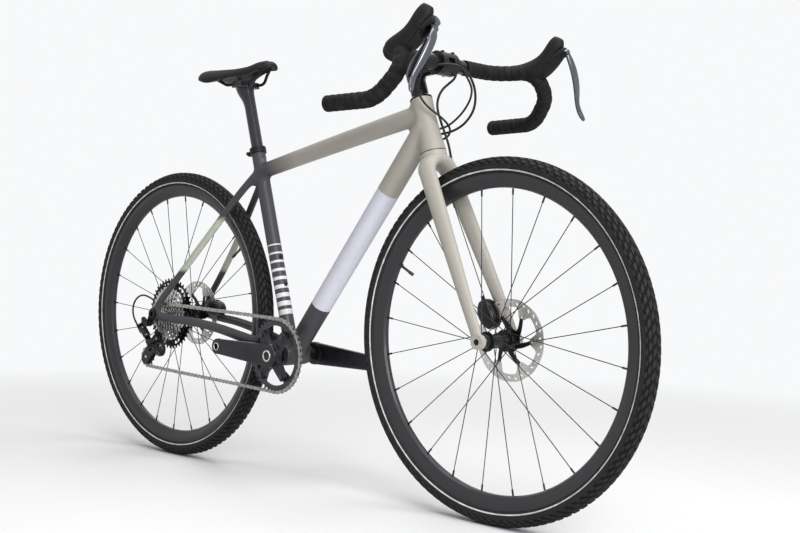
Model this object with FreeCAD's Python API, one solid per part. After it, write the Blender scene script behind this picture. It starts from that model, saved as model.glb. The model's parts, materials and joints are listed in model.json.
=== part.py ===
import FreeCAD
import Part
import math
import os
from FreeCAD import Vector

# Gravel bicycle with drop bars, one chainring and disc brakes, as an assembly of separate pieces.
# Millimetres. +X is forward, +Y is the rider's left, +Z is up.
# The origin is on the ground, midway between the two wheel axles.

# Clearances
RUNNING = 0.05
FREE = 0.3

# Frame layout
WHEELBASE = 1010.0
TYRE_RADIUS = 349.0
HEAD_ANGLE = math.radians(71.5)
SEAT_ANGLE = math.radians(73.4)
CHAINSTAY_LENGTH = 434.0
BRACKET_DROP = 70.0
FORK_RAKE = 50.0
HEAD_TUBE_START = 398.0
HEAD_TUBE_LENGTH = 116.0
SEAT_TUBE_LENGTH = 486.0

# Frame tubes
HEAD_TUBE_LOW_RADIUS = 27.0
HEAD_TUBE_WAIST_RADIUS = 22.6
HEAD_TUBE_TOP_RADIUS = 23.2
TOP_TUBE_FRONT = (20.0, 20.5)
TOP_TUBE_REAR = (17.0, 17.0)
TOP_TUBE_FRONT_DROP = 30.0
TOP_TUBE_REAR_DROP = 57.0
DOWN_TUBE_FRONT = (25.0, 24.0)
DOWN_TUBE_REAR = (24.0, 21.5)
DOWN_TUBE_HEAD_RISE = 58.0
SEAT_TUBE_RADIUS = 16.2
SEAT_TUBE_BORE_DEPTH = 240.0
BRACKET_SHELL_RADIUS = 23.5
BRACKET_SHELL_WIDTH = 68.0
BRACKET_BORE_RADIUS = 17.5
SEAT_STAY_HALF = (7.5, 9.0)
CHAIN_STAY_HALF = (7.5, 11.0)
DROPOUT_THICKNESS = 7.0
DROPOUT_RADIUS = 17.0
BOSS_BORE_RADIUS = 2.5
BOSS_BORE_DEPTH = 9.0
BOSS_SPACING = 64.0
SEAT_TUBE_BOSS_HEIGHT = 190.0
DOWN_TUBE_BOSS_HEIGHT = 230.0

# Headset and steerer
STEERER_RADIUS = 14.3
STEERER_LOW_RADIUS = 19.9
HEADSET_BEARING_HEIGHT = 8.0
LOWER_BEARING_RADIUS = 25.0
UPPER_BEARING_RADIUS = 20.5
HEADSET_COVER_HEIGHT = 6.0
SPACER_RADIUS = 17.6
SPACER_HEIGHT = 12.0
SPACER_COUNT = 3
TOP_CAP_HEIGHT = 5.0

# Fork
CROWN_HEIGHT = 30.0
BLADE_SPREAD = 34.0
CROWN_AHEAD = 2.0
FRONT_HUB_WIDTH = 100.0
FORK_END_THICKNESS = 12.0
FORK_END_RADIUS = 14.0

# Stem and bar
STEM_LENGTH = 77.5
STEM_RISE = math.radians(5.0)
STEM_CLAMP_RADIUS = 19.5
STEM_CLAMP_HEIGHT = 40.0
BAR_CLAMP_RADIUS = 15.9
BAR_RADIUS = 11.9
BAR_HALF_WIDTH = 165.0
BAR_REACH = 80.0
BAR_DROP = 99.0
BAR_FLARE = 48.0
BAR_END_SETBACK = 71.0
STEM_HEAD_RADIUS = 23.5
STEM_HEAD_WIDTH = 46.0
TAPE_THICKNESS = 3.4
TAPE_START = 62.0
LEVER_PULL_LENGTH = 145.0

# Wheels
TYRE_WIDTH = 38.0
TYRE_WALL = 2.8
RIM_INNER_RADIUS = 290.0
RIM_SEAT_RADIUS = 311.0
RIM_EDGE_RADIUS = 317.0
RIM_WIDTH = 27.0
RIM_WALL = 1.8
SPOKE_COUNT = 24
SPOKE_RADIUS = 0.9
NIPPLE_RADIUS = 1.9
NIPPLE_LENGTH = 12.0
VALVE_RADIUS = 2.8
VALVE_LENGTH = 38.0
FRONT_NIPPLE_ANGLE = 84.3
REAR_NIPPLE_ANGLE = 87.2
FRONT_VALVE_ANGLE = 151.8
REAR_VALVE_ANGLE = 34.7
REAR_HUB_WIDTH = 142.0
AXLE_RADIUS = 6.0
FLANGE_THICKNESS = 3.0
HUB_NECK_RADIUS = 14.4
SPOKE_STAND_OFF = 0.75
FRONT_FLANGES = ((22.0, 21.0), (-32.0, 19.0))
REAR_FLANGES = ((32.0, 21.0), (-19.0, 24.0))

# Brakes
ROTOR_RADIUS = 80.0
ROTOR_BAND = 12.5
ROTOR_THICKNESS = 1.8
ROTOR_ARMS = 6
ROTOR_SLOTS = 30
FRONT_ROTOR_Y = 39.5
REAR_ROTOR_Y = 55.7
PAD_GAP = 0.45
PAD_THICKNESS = 4.2

# Drivetrain
CHAIN_PITCH = 12.7
ROLLER_RADIUS = 3.85
PLATE_RADIUS = 4.2
PLATE_THICKNESS = 0.85
CHAIN_INNER_WIDTH = 2.2
CHAINRING_TEETH = 40
CHAINRING_Y = -49.7
CHAINRING_BAND = 15.0
COGS = (11, 13, 15, 17, 19, 21, 24, 28, 32, 37, 42)
COG_SPACING = 3.9
COG_THICKNESS = 1.6
SMALLEST_COG_Y = -64.0
CHAIN_COG = 1
FREEHUB_RADIUS = 17.0
PULLEY_TEETH = 11
PULLEY_THICKNESS = 2.0
CRANK_LENGTH = 172.5
CRANK_TILT = math.radians(3.0)
SPINDLE_RADIUS = 12.0
SPINDLE_BORE_RADIUS = 9.0
PEDAL_BORE_RADIUS = 7.14
BOLT_CIRCLE_RADIUS = 55.0
CRANK_OUTER_Y = 76.0
PEDAL_OUTER_Y = 82.0
CRANK_THICKNESS = 16.0
PEDAL_END_THICKNESS = 14.0
CRANK_ROOT_HALF = 26.0
CRANK_TIP_HALF = 18.0
BEARING_CUP_RADIUS = 21.0
BEARING_CUP_WIDTH = 9.0

# Rear derailleur, offsets from the rear axle as (x, z)
HANGER_BOLT = (-10.0, -22.0)
GUIDE_PULLEY = (0.0, -62.0)
CAGE_PIVOT = (20.0, -78.0)
PULLEY_CENTRES = 62.0
CAGE_REST_ANGLE = 220.0
LINK_LENGTH = 66.0
LINK_SLOPE = math.radians(-44.0)
LINK_SLANT = math.radians(50.0)
LINK_REST_ANGLE = math.radians(-21.6)
LINK_SEPARATION = 14.0
LINK_WIDTH = 14.0
LINK_BAR_RELIEF = 1.0
LINK_EYE_RADIUS = 4.5
LINK_PIN_RADIUS = 2.0
LINK_SWEEP = (-6.0, 0.0, 8.0, 16.0, 24.0, 32.0, 40.0, 49.5)
EAR_THICKNESS = 3.0
EAR_REACH = 10.0
HANGER_THICKNESS = 5.0

# Saddle
POST_RADIUS = 13.6
POST_INSERT = 130.0
POST_SETBACK = 4.0
POST_HEAD_HEIGHT = 643.0
COLLAR_WALL = 3.0
COLLAR_HEIGHT = 14.0
RAIL_RADIUS = 3.5
RAIL_SPACING = 44.0
SADDLE_LENGTH = 222.0
SADDLE_WIDTH = 138.0
SADDLE_NOSE_X = -164.0
SADDLE_TOP_Z = 943.0

# Hoses
HOSE_RADIUS = 2.5
HOUSING_RADIUS = 2.2

ACROSS = Vector(0, 1, 0)
SECTION_POINTS = 16


# Reference points

REAR = Vector(-WHEELBASE / 2, 0, TYRE_RADIUS)
FRONT = Vector(WHEELBASE / 2, 0, TYRE_RADIUS)
BRACKET = REAR + Vector(math.sqrt(CHAINSTAY_LENGTH ** 2 - BRACKET_DROP ** 2), 0, -BRACKET_DROP)
STEER_UP = Vector(-math.cos(HEAD_ANGLE), 0, math.sin(HEAD_ANGLE))
STEER_AHEAD = Vector(math.sin(HEAD_ANGLE), 0, math.cos(HEAD_ANGLE))
SEAT_UP = Vector(-math.cos(SEAT_ANGLE), 0, math.sin(SEAT_ANGLE))
SEAT_AHEAD = Vector(math.sin(SEAT_ANGLE), 0, math.cos(SEAT_ANGLE))
HEAD_TUBE_END = HEAD_TUBE_START + HEAD_TUBE_LENGTH
SPACERS_START = HEAD_TUBE_END + FREE + HEADSET_COVER_HEIGHT
STEM_START = SPACERS_START + SPACER_COUNT * SPACER_HEIGHT
STEM_END = STEM_START + STEM_CLAMP_HEIGHT
STEERER_END = STEM_END - 3.0


def steer(up, ahead=0.0, y=0.0):
    """Point on the steering axis, measured up from level with the front axle."""
    return FRONT - STEER_AHEAD * FORK_RAKE + STEER_UP * up + STEER_AHEAD * ahead + ACROSS * y


def seat(up, ahead=0.0, y=0.0):
    """Point on the seat tube axis, measured up from the bottom bracket."""
    return BRACKET + SEAT_UP * up + SEAT_AHEAD * ahead + ACROSS * y


BAR_CENTRE = steer((STEM_START + STEM_END) / 2)
BAR_CENTRE = BAR_CENTRE + Vector(math.cos(STEM_RISE), 0, math.sin(STEM_RISE)) * STEM_LENGTH


# Shape helpers

def unit(vector):
    return Vector(vector) * (1.0 / vector.Length)


def rod(start, end, radius):
    return Part.makeCylinder(radius, (end - start).Length, start, end - start)


def turned(origin, axis, outline):
    """Solid of revolution; outline holds (radius, distance along axis) corners."""
    axis = unit(axis)
    side = unit(axis.cross(Vector(1, 0, 0)) if abs(axis.x) < 0.5 else axis.cross(ACROSS))
    corners = [origin + axis * along + side * radius for radius, along in outline]
    face = Part.Face(Part.makePolygon(corners + corners[:1]))
    return face.revolve(origin, axis, 360)


def section(point, ahead, half_across, half_deep, side=ACROSS, squareness=2.0):
    """Closed smooth section square to ahead: an ellipse, or a rounder square for squareness over 2."""
    ahead = unit(ahead)
    u = unit(side - ahead * side.dot(ahead))
    v = ahead.cross(u)
    points = []
    for k in range(SECTION_POINTS):
        c = math.cos(2 * math.pi * k / SECTION_POINTS)
        s = math.sin(2 * math.pi * k / SECTION_POINTS)
        across = half_across * math.copysign(abs(c) ** (2 / squareness), c)
        deep = half_deep * math.copysign(abs(s) ** (2 / squareness), s)
        points.append(point + u * across + v * deep)
    curve = Part.BSplineCurve()
    curve.interpolate(points, PeriodicFlag=True)
    return Part.Wire([curve.toShape()])


def limb(stations, side=ACROSS, squareness=2.0):
    """Tube lofted through stations of (point, half width along side, half depth)."""
    points = [station[0] for station in stations]
    last = len(points) - 1
    rings = []
    for k, (point, half_across, half_deep) in enumerate(stations):
        ahead = points[min(k + 1, last)] - points[max(k - 1, 0)]
        rings.append(section(point, ahead, half_across, half_deep, side, squareness))
    return Part.makeLoft(rings, True, len(stations) == 2)


def eased(stations, rounds=2):
    """Stations with their corners cut, so that a limb through them bends without waves."""
    for _ in range(rounds):
        cut = [stations[0]]
        for (p, across_p, deep_p), (q, across_q, deep_q) in zip(stations, stations[1:]):
            for share in (0.25, 0.75):
                cut.append((p + (q - p) * share, across_p + (across_q - across_p) * share,
                            deep_p + (deep_q - deep_p) * share))
        stations = cut + [stations[-1]]
    return stations


def slab(origin, axes, low, high):
    """Box with its edges along three axes, from corner low to corner high in those axes."""
    a, b, c = axes
    start = origin + a * low[0] + b * low[1] + c * low[2]
    da = a * (high[0] - low[0])
    db = b * (high[1] - low[1])
    dc = c * (high[2] - low[2])
    base = Part.makePolygon([start, start + da, start + da + db, start + db, start])
    return Part.Face(base).extrude(dc)


def prism(corners, travel):
    return Part.Face(Part.makePolygon(list(corners) + [corners[0]])).extrude(travel)


def corner_arc(before, corner, after, radius):
    """Tangent arc that rounds a corner: its start, middle and end points."""
    to_before = unit(before - corner)
    to_after = unit(after - corner)
    half = math.acos(max(-1.0, min(1.0, to_before.dot(to_after)))) / 2
    reach = radius / math.tan(half)
    centre = corner + unit(to_before + to_after) * (radius / math.sin(half))
    middle = centre + unit(corner - centre) * radius
    return corner + to_before * reach, middle, corner + to_after * reach


def rounded_path(points, radii):
    """Straight runs joined by tangent arcs."""
    edges = []
    at = points[0]
    for k, radius in enumerate(radii, 1):
        start, middle, end = corner_arc(points[k - 1], points[k], points[k + 1], radius)
        if (start - at).Length > 1e-4:
            edges.append(Part.LineSegment(at, start).toShape())
        edges.append(Part.Arc(start, middle, end).toShape())
        at = end
    edges.append(Part.LineSegment(at, points[-1]).toShape())
    return Part.Wire(edges)


def tube(path, radius):
    """Round solid along a path."""
    start = path.Edges[0]
    tangent = start.tangentAt(start.FirstParameter)
    ring = Part.Wire([Part.Circle(start.valueAt(start.FirstParameter), tangent, radius).toShape()])
    return path.makePipeShell([ring], True, False)


def cord(points, radius):
    """Cord through chosen points; each bend is as large as its two runs allow."""
    runs = [(b - a).Length for a, b in zip(points, points[1:])]
    radii = []
    for k in range(1, len(points) - 1):
        turn = (points[k] - points[k - 1]).getAngle(points[k + 1] - points[k])
        radii.append(0.45 * min(runs[k - 1], runs[k]) / math.tan(turn / 2))
    print("cord radii", [round(r, 1) for r in radii])
    return tube(rounded_path(points, radii), radius)


def largest(shape):
    return max(shape.Solids, key=lambda solid: solid.Volume)


def mirrored(shape):
    return shape.mirror(Vector(0, 0, 0), ACROSS)


def polar(centre, radius, angle, y=0.0):
    """Point at an angle in degrees from forward towards up, in a plane across the bicycle."""
    a = math.radians(angle)
    return Vector(centre.x + radius * math.cos(a), y, centre.z + radius * math.sin(a))


# Frame

def head_tube():
    length = HEAD_TUBE_LENGTH
    base = steer(HEAD_TUBE_START)

    def at(radius, up):
        return base + STEER_AHEAD * radius + STEER_UP * up

    low_seat = LOWER_BEARING_RADIUS
    high_seat = UPPER_BEARING_RADIUS
    seat_height = HEADSET_BEARING_HEIGHT
    low_bore = STEERER_LOW_RADIUS + 1.2
    high_bore = STEERER_RADIUS + 1.7
    outer = Part.Arc(at(HEAD_TUBE_LOW_RADIUS, 0), at(HEAD_TUBE_WAIST_RADIUS, length * 0.5),
                     at(HEAD_TUBE_TOP_RADIUS, length)).toShape()
    corners = [at(HEAD_TUBE_TOP_RADIUS, length), at(high_seat, length), at(high_seat, length - seat_height),
               at(high_bore, length - seat_height), at(high_bore, length * 0.5), at(low_bore, seat_height),
               at(low_seat, seat_height), at(low_seat, 0), at(HEAD_TUBE_LOW_RADIUS, 0)]
    edges = [outer] + [Part.LineSegment(a, b).toShape() for a, b in zip(corners, corners[1:])]
    return Part.Face(Part.Wire(edges)).revolve(base, STEER_UP, 360)


def head_tube_solid():
    """Head tube without its bore, for mitring the tubes that meet it."""
    base = steer(HEAD_TUBE_START)

    def at(radius, up):
        return base + STEER_AHEAD * radius + STEER_UP * up

    length = HEAD_TUBE_LENGTH
    outer = Part.Arc(at(HEAD_TUBE_LOW_RADIUS, 0), at(HEAD_TUBE_WAIST_RADIUS, length * 0.5),
                     at(HEAD_TUBE_TOP_RADIUS, length)).toShape()
    corners = [at(HEAD_TUBE_TOP_RADIUS, length), at(0, length), at(0, 0), at(HEAD_TUBE_LOW_RADIUS, 0)]
    edges = [outer] + [Part.LineSegment(a, b).toShape() for a, b in zip(corners, corners[1:])]
    return Part.Face(Part.Wire(edges)).revolve(base, STEER_UP, 360)


def seat_tube_solid():
    """Seat tube and bottom bracket shell without their bores."""
    half = BRACKET_SHELL_WIDTH / 2
    shell = rod(BRACKET - ACROSS * half, BRACKET + ACROSS * half, BRACKET_SHELL_RADIUS)
    return shell.fuse(rod(seat(0), seat(SEAT_TUBE_LENGTH), SEAT_TUBE_RADIUS))


def seat_tube():
    bore = rod(seat(SEAT_TUBE_LENGTH - SEAT_TUBE_BORE_DEPTH), seat(SEAT_TUBE_LENGTH + 1), POST_RADIUS + RUNNING)
    body = seat_tube_solid().cut([bore, bracket_bore()] + seat_tube_boss_bores())
    return body.removeSplitter()


def bracket_bore():
    half = BRACKET_SHELL_WIDTH / 2 + 1
    return rod(BRACKET - ACROSS * half, BRACKET + ACROSS * half, BRACKET_BORE_RADIUS)


def boss_bores(base, along, out, surface):
    """Two threaded bottle-cage holes, bored in from the tube's surface."""
    bores = []
    for offset in (-BOSS_SPACING / 2, BOSS_SPACING / 2):
        mouth = base + along * offset + out * surface
        bores.append(rod(mouth - out * BOSS_BORE_DEPTH, mouth + out * 5, BOSS_BORE_RADIUS))
    return bores


def seat_tube_boss_bores():
    return boss_bores(seat(SEAT_TUBE_BOSS_HEIGHT), SEAT_UP, SEAT_AHEAD, SEAT_TUBE_RADIUS)


DOWN_TUBE_TOP = steer(HEAD_TUBE_START + DOWN_TUBE_HEAD_RISE)
DOWN_TUBE_ALONG = unit(DOWN_TUBE_TOP - BRACKET)
DOWN_TUBE_OUT = Vector(-DOWN_TUBE_ALONG.z, 0, DOWN_TUBE_ALONG.x)


def down_tube_half_depth(up):
    share = up / (DOWN_TUBE_TOP - BRACKET).Length
    return DOWN_TUBE_REAR[1] + (DOWN_TUBE_FRONT[1] - DOWN_TUBE_REAR[1]) * share


def down_tube():
    body = limb([(BRACKET,) + DOWN_TUBE_REAR, (DOWN_TUBE_TOP,) + DOWN_TUBE_FRONT])
    body = largest(body.cut(head_tube_solid()))
    body = largest(body.cut(seat_tube_solid()))
    base = BRACKET + DOWN_TUBE_ALONG * DOWN_TUBE_BOSS_HEIGHT
    bores = boss_bores(base, DOWN_TUBE_ALONG, DOWN_TUBE_OUT, down_tube_half_depth(DOWN_TUBE_BOSS_HEIGHT))
    return largest(body.cut(bores))


def top_tube():
    front = steer(HEAD_TUBE_END - TOP_TUBE_FRONT_DROP)
    rear = seat(SEAT_TUBE_LENGTH - TOP_TUBE_REAR_DROP)
    middle = (front + rear) * 0.5 + Vector(0, 0, 2.0)
    half = tuple((a + b) / 2 for a, b in zip(TOP_TUBE_FRONT, TOP_TUBE_REAR))
    body = limb([(rear,) + TOP_TUBE_REAR, (middle,) + half, (front,) + TOP_TUBE_FRONT])
    body = largest(body.cut(head_tube_solid()))
    return largest(body.cut(seat_tube_solid()))


def dropout_centre(side):
    return Vector(REAR.x, side * (REAR_HUB_WIDTH + DROPOUT_THICKNESS) / 2, REAR.z)


def seat_stay(side, top):
    top_point = seat(SEAT_TUBE_LENGTH - TOP_TUBE_REAR_DROP - 2)
    end = dropout_centre(side)
    start = Vector(top_point.x, side * 10.0, top_point.z)
    upper = Vector(top_point.x - 45, side * 24.0, top_point.z - 45)
    middle = start * 0.45 + end * 0.55 + ACROSS * side * 8
    lower = end + Vector(20.0, -side * 3.0, 32.0)
    across, deep = SEAT_STAY_HALF
    stations = [(start, across, deep + 2), (upper, across, deep), (middle, across, deep), (lower, 6.0, deep),
                (end + Vector(2, 0, 6), 3.4, deep)]
    body = limb(eased(stations, 1))
    body = largest(body.cut(seat_tube_solid()))
    body = largest(body.cut(top))
    body = largest(body.cut(dropout(side)))
    body = largest(body.cut(chain_stay_limb(side)))
    face = REAR_HUB_WIDTH / 2 + DROPOUT_THICKNESS
    outside = rod(REAR + ACROSS * side * face, REAR + ACROSS * side * (face + 20), DROPOUT_RADIUS + 8)
    return largest(body.cut([hub_space(), outside]))


def hub_space():
    half = REAR_HUB_WIDTH / 2
    return rod(REAR - ACROSS * half, REAR + ACROSS * half, DROPOUT_RADIUS + 20)


def dropout(side):
    inner = REAR + ACROSS * side * REAR_HUB_WIDTH / 2
    outer = inner + ACROSS * side * DROPOUT_THICKNESS
    return rod(inner, outer, DROPOUT_RADIUS)


def chain_stay_limb(side):
    end = dropout_centre(side)
    across, deep = CHAIN_STAY_HALF
    start = BRACKET + Vector(-8, side * 25.0, 6)
    yoke = BRACKET + Vector(-52, side * 31.0, 16)
    waist = BRACKET + Vector(-90, side * 36.5, 24)
    middle = BRACKET * 0.45 + REAR * 0.55 + Vector(0, side * 54.0, 16)
    lower = end + Vector(46, -side * 2.0, -7)
    return limb(eased([(start, 9.0, deep + 5), (yoke, across, deep + 3), (waist, across, deep + 2),
                       (middle, across, deep), (lower, 6.0, deep - 1), (end + Vector(-2, 0, 0), 3.4, deep - 1)]))


def chain_stay(side, down):
    axle_hole = rod(REAR - ACROSS * REAR_HUB_WIDTH, REAR + ACROSS * REAR_HUB_WIDTH, AXLE_RADIUS + RUNNING)
    body = largest(chain_stay_limb(side).cut(seat_tube_solid()))
    body = largest(body.cut(down))
    body = body.fuse(dropout(side)).cut(axle_hole)
    shell = BRACKET_SHELL_WIDTH / 2
    cup_space = rod(BRACKET + ACROSS * side * shell, BRACKET + ACROSS * side * (shell + 30), BEARING_CUP_RADIUS + 1)
    face = REAR_HUB_WIDTH / 2 + DROPOUT_THICKNESS
    outside = rod(REAR + ACROSS * side * face, REAR + ACROSS * side * (face + 20), DROPOUT_RADIUS + 8)
    return largest(body.cut([hub_space(), cup_space, outside]))


def derailleur_hanger():
    face = REAR_HUB_WIDTH / 2 + DROPOUT_THICKNESS
    thickness = HANGER_THICKNESS
    centre = Vector(REAR.x, -face, REAR.z)
    bolt = centre + Vector(HANGER_BOLT[0], 0, HANGER_BOLT[1])
    out = ACROSS * -thickness
    ear = rod(centre, centre + out, 12.0).fuse(rod(bolt, bolt + out, 9.0))
    down = unit(bolt - centre)
    width = Vector(-down.z, 0, down.x)
    web = prism([centre + width * 10, bolt + width * 8, bolt - width * 8, centre - width * 10], out)
    hole = rod(centre - out, centre + out * 2, AXLE_RADIUS + RUNNING)
    bolt_hole = rod(bolt - out, bolt + out * 2, 4.0)
    return ear.fuse(web).cut(hole).cut(bolt_hole).removeSplitter()


def frame_bearings():
    height = HEADSET_BEARING_HEIGHT
    lower = turned(steer(HEAD_TUBE_START), STEER_UP, (
        (STEERER_LOW_RADIUS + RUNNING, 0), (LOWER_BEARING_RADIUS, 0), (LOWER_BEARING_RADIUS, height),
        (STEERER_LOW_RADIUS + RUNNING, height)))
    upper = turned(steer(HEAD_TUBE_END - height), STEER_UP, (
        (STEERER_RADIUS + RUNNING, 0), (UPPER_BEARING_RADIUS, 0), (UPPER_BEARING_RADIUS, height),
        (STEERER_RADIUS + RUNNING, height)))
    half = BRACKET_SHELL_WIDTH / 2
    cups = []
    for side in (-1, 1):
        inner = SPINDLE_RADIUS + RUNNING
        cups.append(turned(BRACKET, ACROSS * side, (
            (inner, half - 12), (BRACKET_BORE_RADIUS, half - 12), (BRACKET_BORE_RADIUS, half),
            (BEARING_CUP_RADIUS, half), (BEARING_CUP_RADIUS, half + BEARING_CUP_WIDTH - 1),
            (BEARING_CUP_RADIUS - 1, half + BEARING_CUP_WIDTH), (inner, half + BEARING_CUP_WIDTH))))
    return Part.makeCompound([lower, upper] + cups)


def seat_collar():
    low = SEAT_TUBE_LENGTH - COLLAR_HEIGHT + 1
    ring = turned(seat(low), SEAT_UP, (
        (SEAT_TUBE_RADIUS, 0), (SEAT_TUBE_RADIUS + COLLAR_WALL - 0.6, 0), (SEAT_TUBE_RADIUS + COLLAR_WALL, 0.6),
        (SEAT_TUBE_RADIUS + COLLAR_WALL, COLLAR_HEIGHT - 0.6), (SEAT_TUBE_RADIUS + COLLAR_WALL - 0.6, COLLAR_HEIGHT),
        (POST_RADIUS + FREE, COLLAR_HEIGHT), (POST_RADIUS + FREE, COLLAR_HEIGHT - 1),
        (SEAT_TUBE_RADIUS, COLLAR_HEIGHT - 1)))
    axes = (SEAT_AHEAD, ACROSS, SEAT_UP)
    reach = SEAT_TUBE_RADIUS + COLLAR_WALL
    lugs = slab(seat(low), axes, (-reach - 9, -8, 2), (-SEAT_TUBE_RADIUS - 1, 8, COLLAR_HEIGHT - 2))
    tube_space = rod(seat(low - 1), seat(low + COLLAR_HEIGHT - 1), SEAT_TUBE_RADIUS)
    split = slab(seat(low), axes, (-reach - 12, -1, -1), (-POST_RADIUS, 1, COLLAR_HEIGHT + 1))
    bolt_at = seat(low + COLLAR_HEIGHT / 2, -reach - 4.5)
    shank = rod(bolt_at - ACROSS * 9, bolt_at + ACROSS * 8, 2.5)
    head = rod(bolt_at - ACROSS * 13, bolt_at - ACROSS * 8.2, 4.3)
    band = ring.fuse(lugs.cut(tube_space)).cut(split).cut(shank)
    return Part.makeCompound([largest(band), shank.fuse(head)])


# Steering assembly

def fork_leg(side, low):
    """One straight fork blade, from the crown down to the wheel's end."""
    end = FRONT + ACROSS * side * (FRONT_HUB_WIDTH + FORK_END_THICKNESS) / 2
    top = steer(low + 8, CROWN_AHEAD, side * BLADE_SPREAD)
    return limb([(top, 19.5, 12.5), (end * 0.33 + top * 0.67, 17.5, 11.0), (end * 0.67 + top * 0.33, 14.5, 9.0),
                 (end, 11.0, 5.8)], STEER_AHEAD)


def crown_arch(low):
    """Arch over the tyre that joins the two blades."""
    rows = []
    steps = 8
    for k in range(steps + 1):
        a = math.pi * k / steps
        lift = math.sin(a)
        rows.append((steer(low + CROWN_HEIGHT * lift, CROWN_AHEAD, -BLADE_SPREAD * math.cos(a)), 19.5 + 4.0 * lift,
                     12.5 + (CROWN_HEIGHT / 2 - 12.5) * lift))
    return limb(rows, STEER_AHEAD)


def fork():
    low = HEAD_TUBE_START - FREE - CROWN_HEIGHT * 1.5
    crown_top = HEAD_TUBE_START - FREE
    bearing_top = HEAD_TUBE_START + HEADSET_BEARING_HEIGHT
    race = HEAD_TUBE_LOW_RADIUS - 0.5
    steerer = turned(steer(0), STEER_UP, (
        (0, crown_top - 20), (race - 3, crown_top - 20), (race, crown_top - 6), (race, crown_top),
        (STEERER_LOW_RADIUS, crown_top), (STEERER_LOW_RADIUS, bearing_top), (STEERER_RADIUS, bearing_top + 46),
        (STEERER_RADIUS, STEERER_END), (STEERER_RADIUS - 2.5, STEERER_END), (STEERER_RADIUS - 2.5, crown_top + 10),
        (0, crown_top + 10)))
    pieces = [crown_arch(low), steerer]
    for side in (-1, 1):
        inner = FRONT + ACROSS * side * FRONT_HUB_WIDTH / 2
        pieces.append(rod(inner, inner + ACROSS * side * FORK_END_THICKNESS, FORK_END_RADIUS))
        pieces.append(fork_leg(side, low))
    body = pieces[0].fuse(pieces[1:])
    half = FRONT_HUB_WIDTH / 2
    axle_hole = rod(FRONT - ACROSS * FRONT_HUB_WIDTH, FRONT + ACROSS * FRONT_HUB_WIDTH, AXLE_RADIUS + RUNNING)
    hub_gap = rod(FRONT - ACROSS * half, FRONT + ACROSS * half, FORK_END_RADIUS + 12)
    above = turned(steer(crown_top), STEER_UP, (
        (STEERER_LOW_RADIUS + 4, 0), (90, 0), (90, 60), (STEERER_LOW_RADIUS + 4, 60)))
    return largest(body.cut([axle_hole, hub_gap, above]))


def headset_stack():
    base = HEAD_TUBE_END + FREE
    cover = turned(steer(base), STEER_UP, (
        (STEERER_RADIUS, 0), (HEAD_TUBE_TOP_RADIUS, 0), (HEAD_TUBE_TOP_RADIUS - 0.6, 2), (SPACER_RADIUS + 0.4,
        HEADSET_COVER_HEIGHT), (STEERER_RADIUS, HEADSET_COVER_HEIGHT)))
    pieces = [cover]
    for k in range(SPACER_COUNT):
        low = SPACERS_START + k * SPACER_HEIGHT
        pieces.append(turned(steer(low), STEER_UP, (
            (STEERER_RADIUS, 0), (SPACER_RADIUS - 0.3, 0), (SPACER_RADIUS, 0.3), (SPACER_RADIUS, SPACER_HEIGHT - 0.3),
            (SPACER_RADIUS - 0.3, SPACER_HEIGHT), (STEERER_RADIUS, SPACER_HEIGHT))))
    cap = turned(steer(STEM_END), STEER_UP, (
        (0, 0), (SPACER_RADIUS - 0.5, 0), (SPACER_RADIUS - 1.5, TOP_CAP_HEIGHT), (5, TOP_CAP_HEIGHT), (5,
        TOP_CAP_HEIGHT - 3), (0, TOP_CAP_HEIGHT - 3)))
    return Part.makeCompound(pieces + [cap])


STEM_AHEAD = Vector(math.cos(STEM_RISE), 0, math.sin(STEM_RISE))
STEM_UP = Vector(-math.sin(STEM_RISE), 0, math.cos(STEM_RISE))
STEM_AXES = (STEM_AHEAD, ACROSS, STEM_UP)


def stem_bolts():
    bolts = []
    for up in (-19.0, 19.0):
        for y in (-15.0, 15.0):
            at = BAR_CENTRE + STEM_UP * up + ACROSS * y
            bolts.append(rod(at - STEM_AHEAD * 16, at + STEM_AHEAD * 9, 2.5).fuse(
                rod(at + STEM_AHEAD * 9, at + STEM_AHEAD * 14, 4.2)))
    return bolts


def stem():
    half = STEM_HEAD_WIDTH / 2
    hub = rod(steer(STEM_START), steer(STEM_END), STEM_CLAMP_RADIUS)
    start = steer((STEM_START + STEM_END) / 2)
    neck = limb([(start, 17.0, 18.0), (start + STEM_AHEAD * STEM_LENGTH * 0.5, 17.0, 16.5), (BAR_CENTRE, 20.0, 17.5)])
    head = rod(BAR_CENTRE - ACROSS * half, BAR_CENTRE + ACROSS * half, STEM_HEAD_RADIUS)
    ahead = slab(BAR_CENTRE, STEM_AXES, (-0.75, -half - 5, -40), (40, half + 5, 40))
    bores = [rod(steer(STEM_START - 5), steer(STEM_END + 5), STEERER_RADIUS), bar_clamp_bore()]
    slot = slab(start, STEM_AXES, (-30, -0.8, -30), (-STEERER_RADIUS + 2, 0.8, 30))
    ends = [rod(steer(STEM_END), steer(STEM_END + 15), SPACER_RADIUS + 2),
            rod(steer(STEM_START - 15), steer(STEM_START), SPACER_RADIUS + 2)]
    body = hub.fuse([neck, head]).cut(ahead)
    return largest(body.cut(bores + ends + [slot] + stem_bolts()))


def bar_clamp_bore():
    return rod(BAR_CENTRE - ACROSS * STEM_HEAD_WIDTH, BAR_CENTRE + ACROSS * STEM_HEAD_WIDTH, BAR_CLAMP_RADIUS)


def stem_faceplate():
    half = STEM_HEAD_WIDTH / 2
    head = rod(BAR_CENTRE - ACROSS * half, BAR_CENTRE + ACROSS * half, STEM_HEAD_RADIUS)
    behind = slab(BAR_CENTRE, STEM_AXES, (-40, -half - 5, -40), (0.75, half + 5, 40))
    window = slab(BAR_CENTRE, STEM_AXES, (0, -9, -8), (40, 9, 8))
    plate = largest(head.cut(behind).cut(bar_clamp_bore()).cut(window).cut(stem_bolts()))
    return Part.makeCompound([plate] + stem_bolts())


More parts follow.
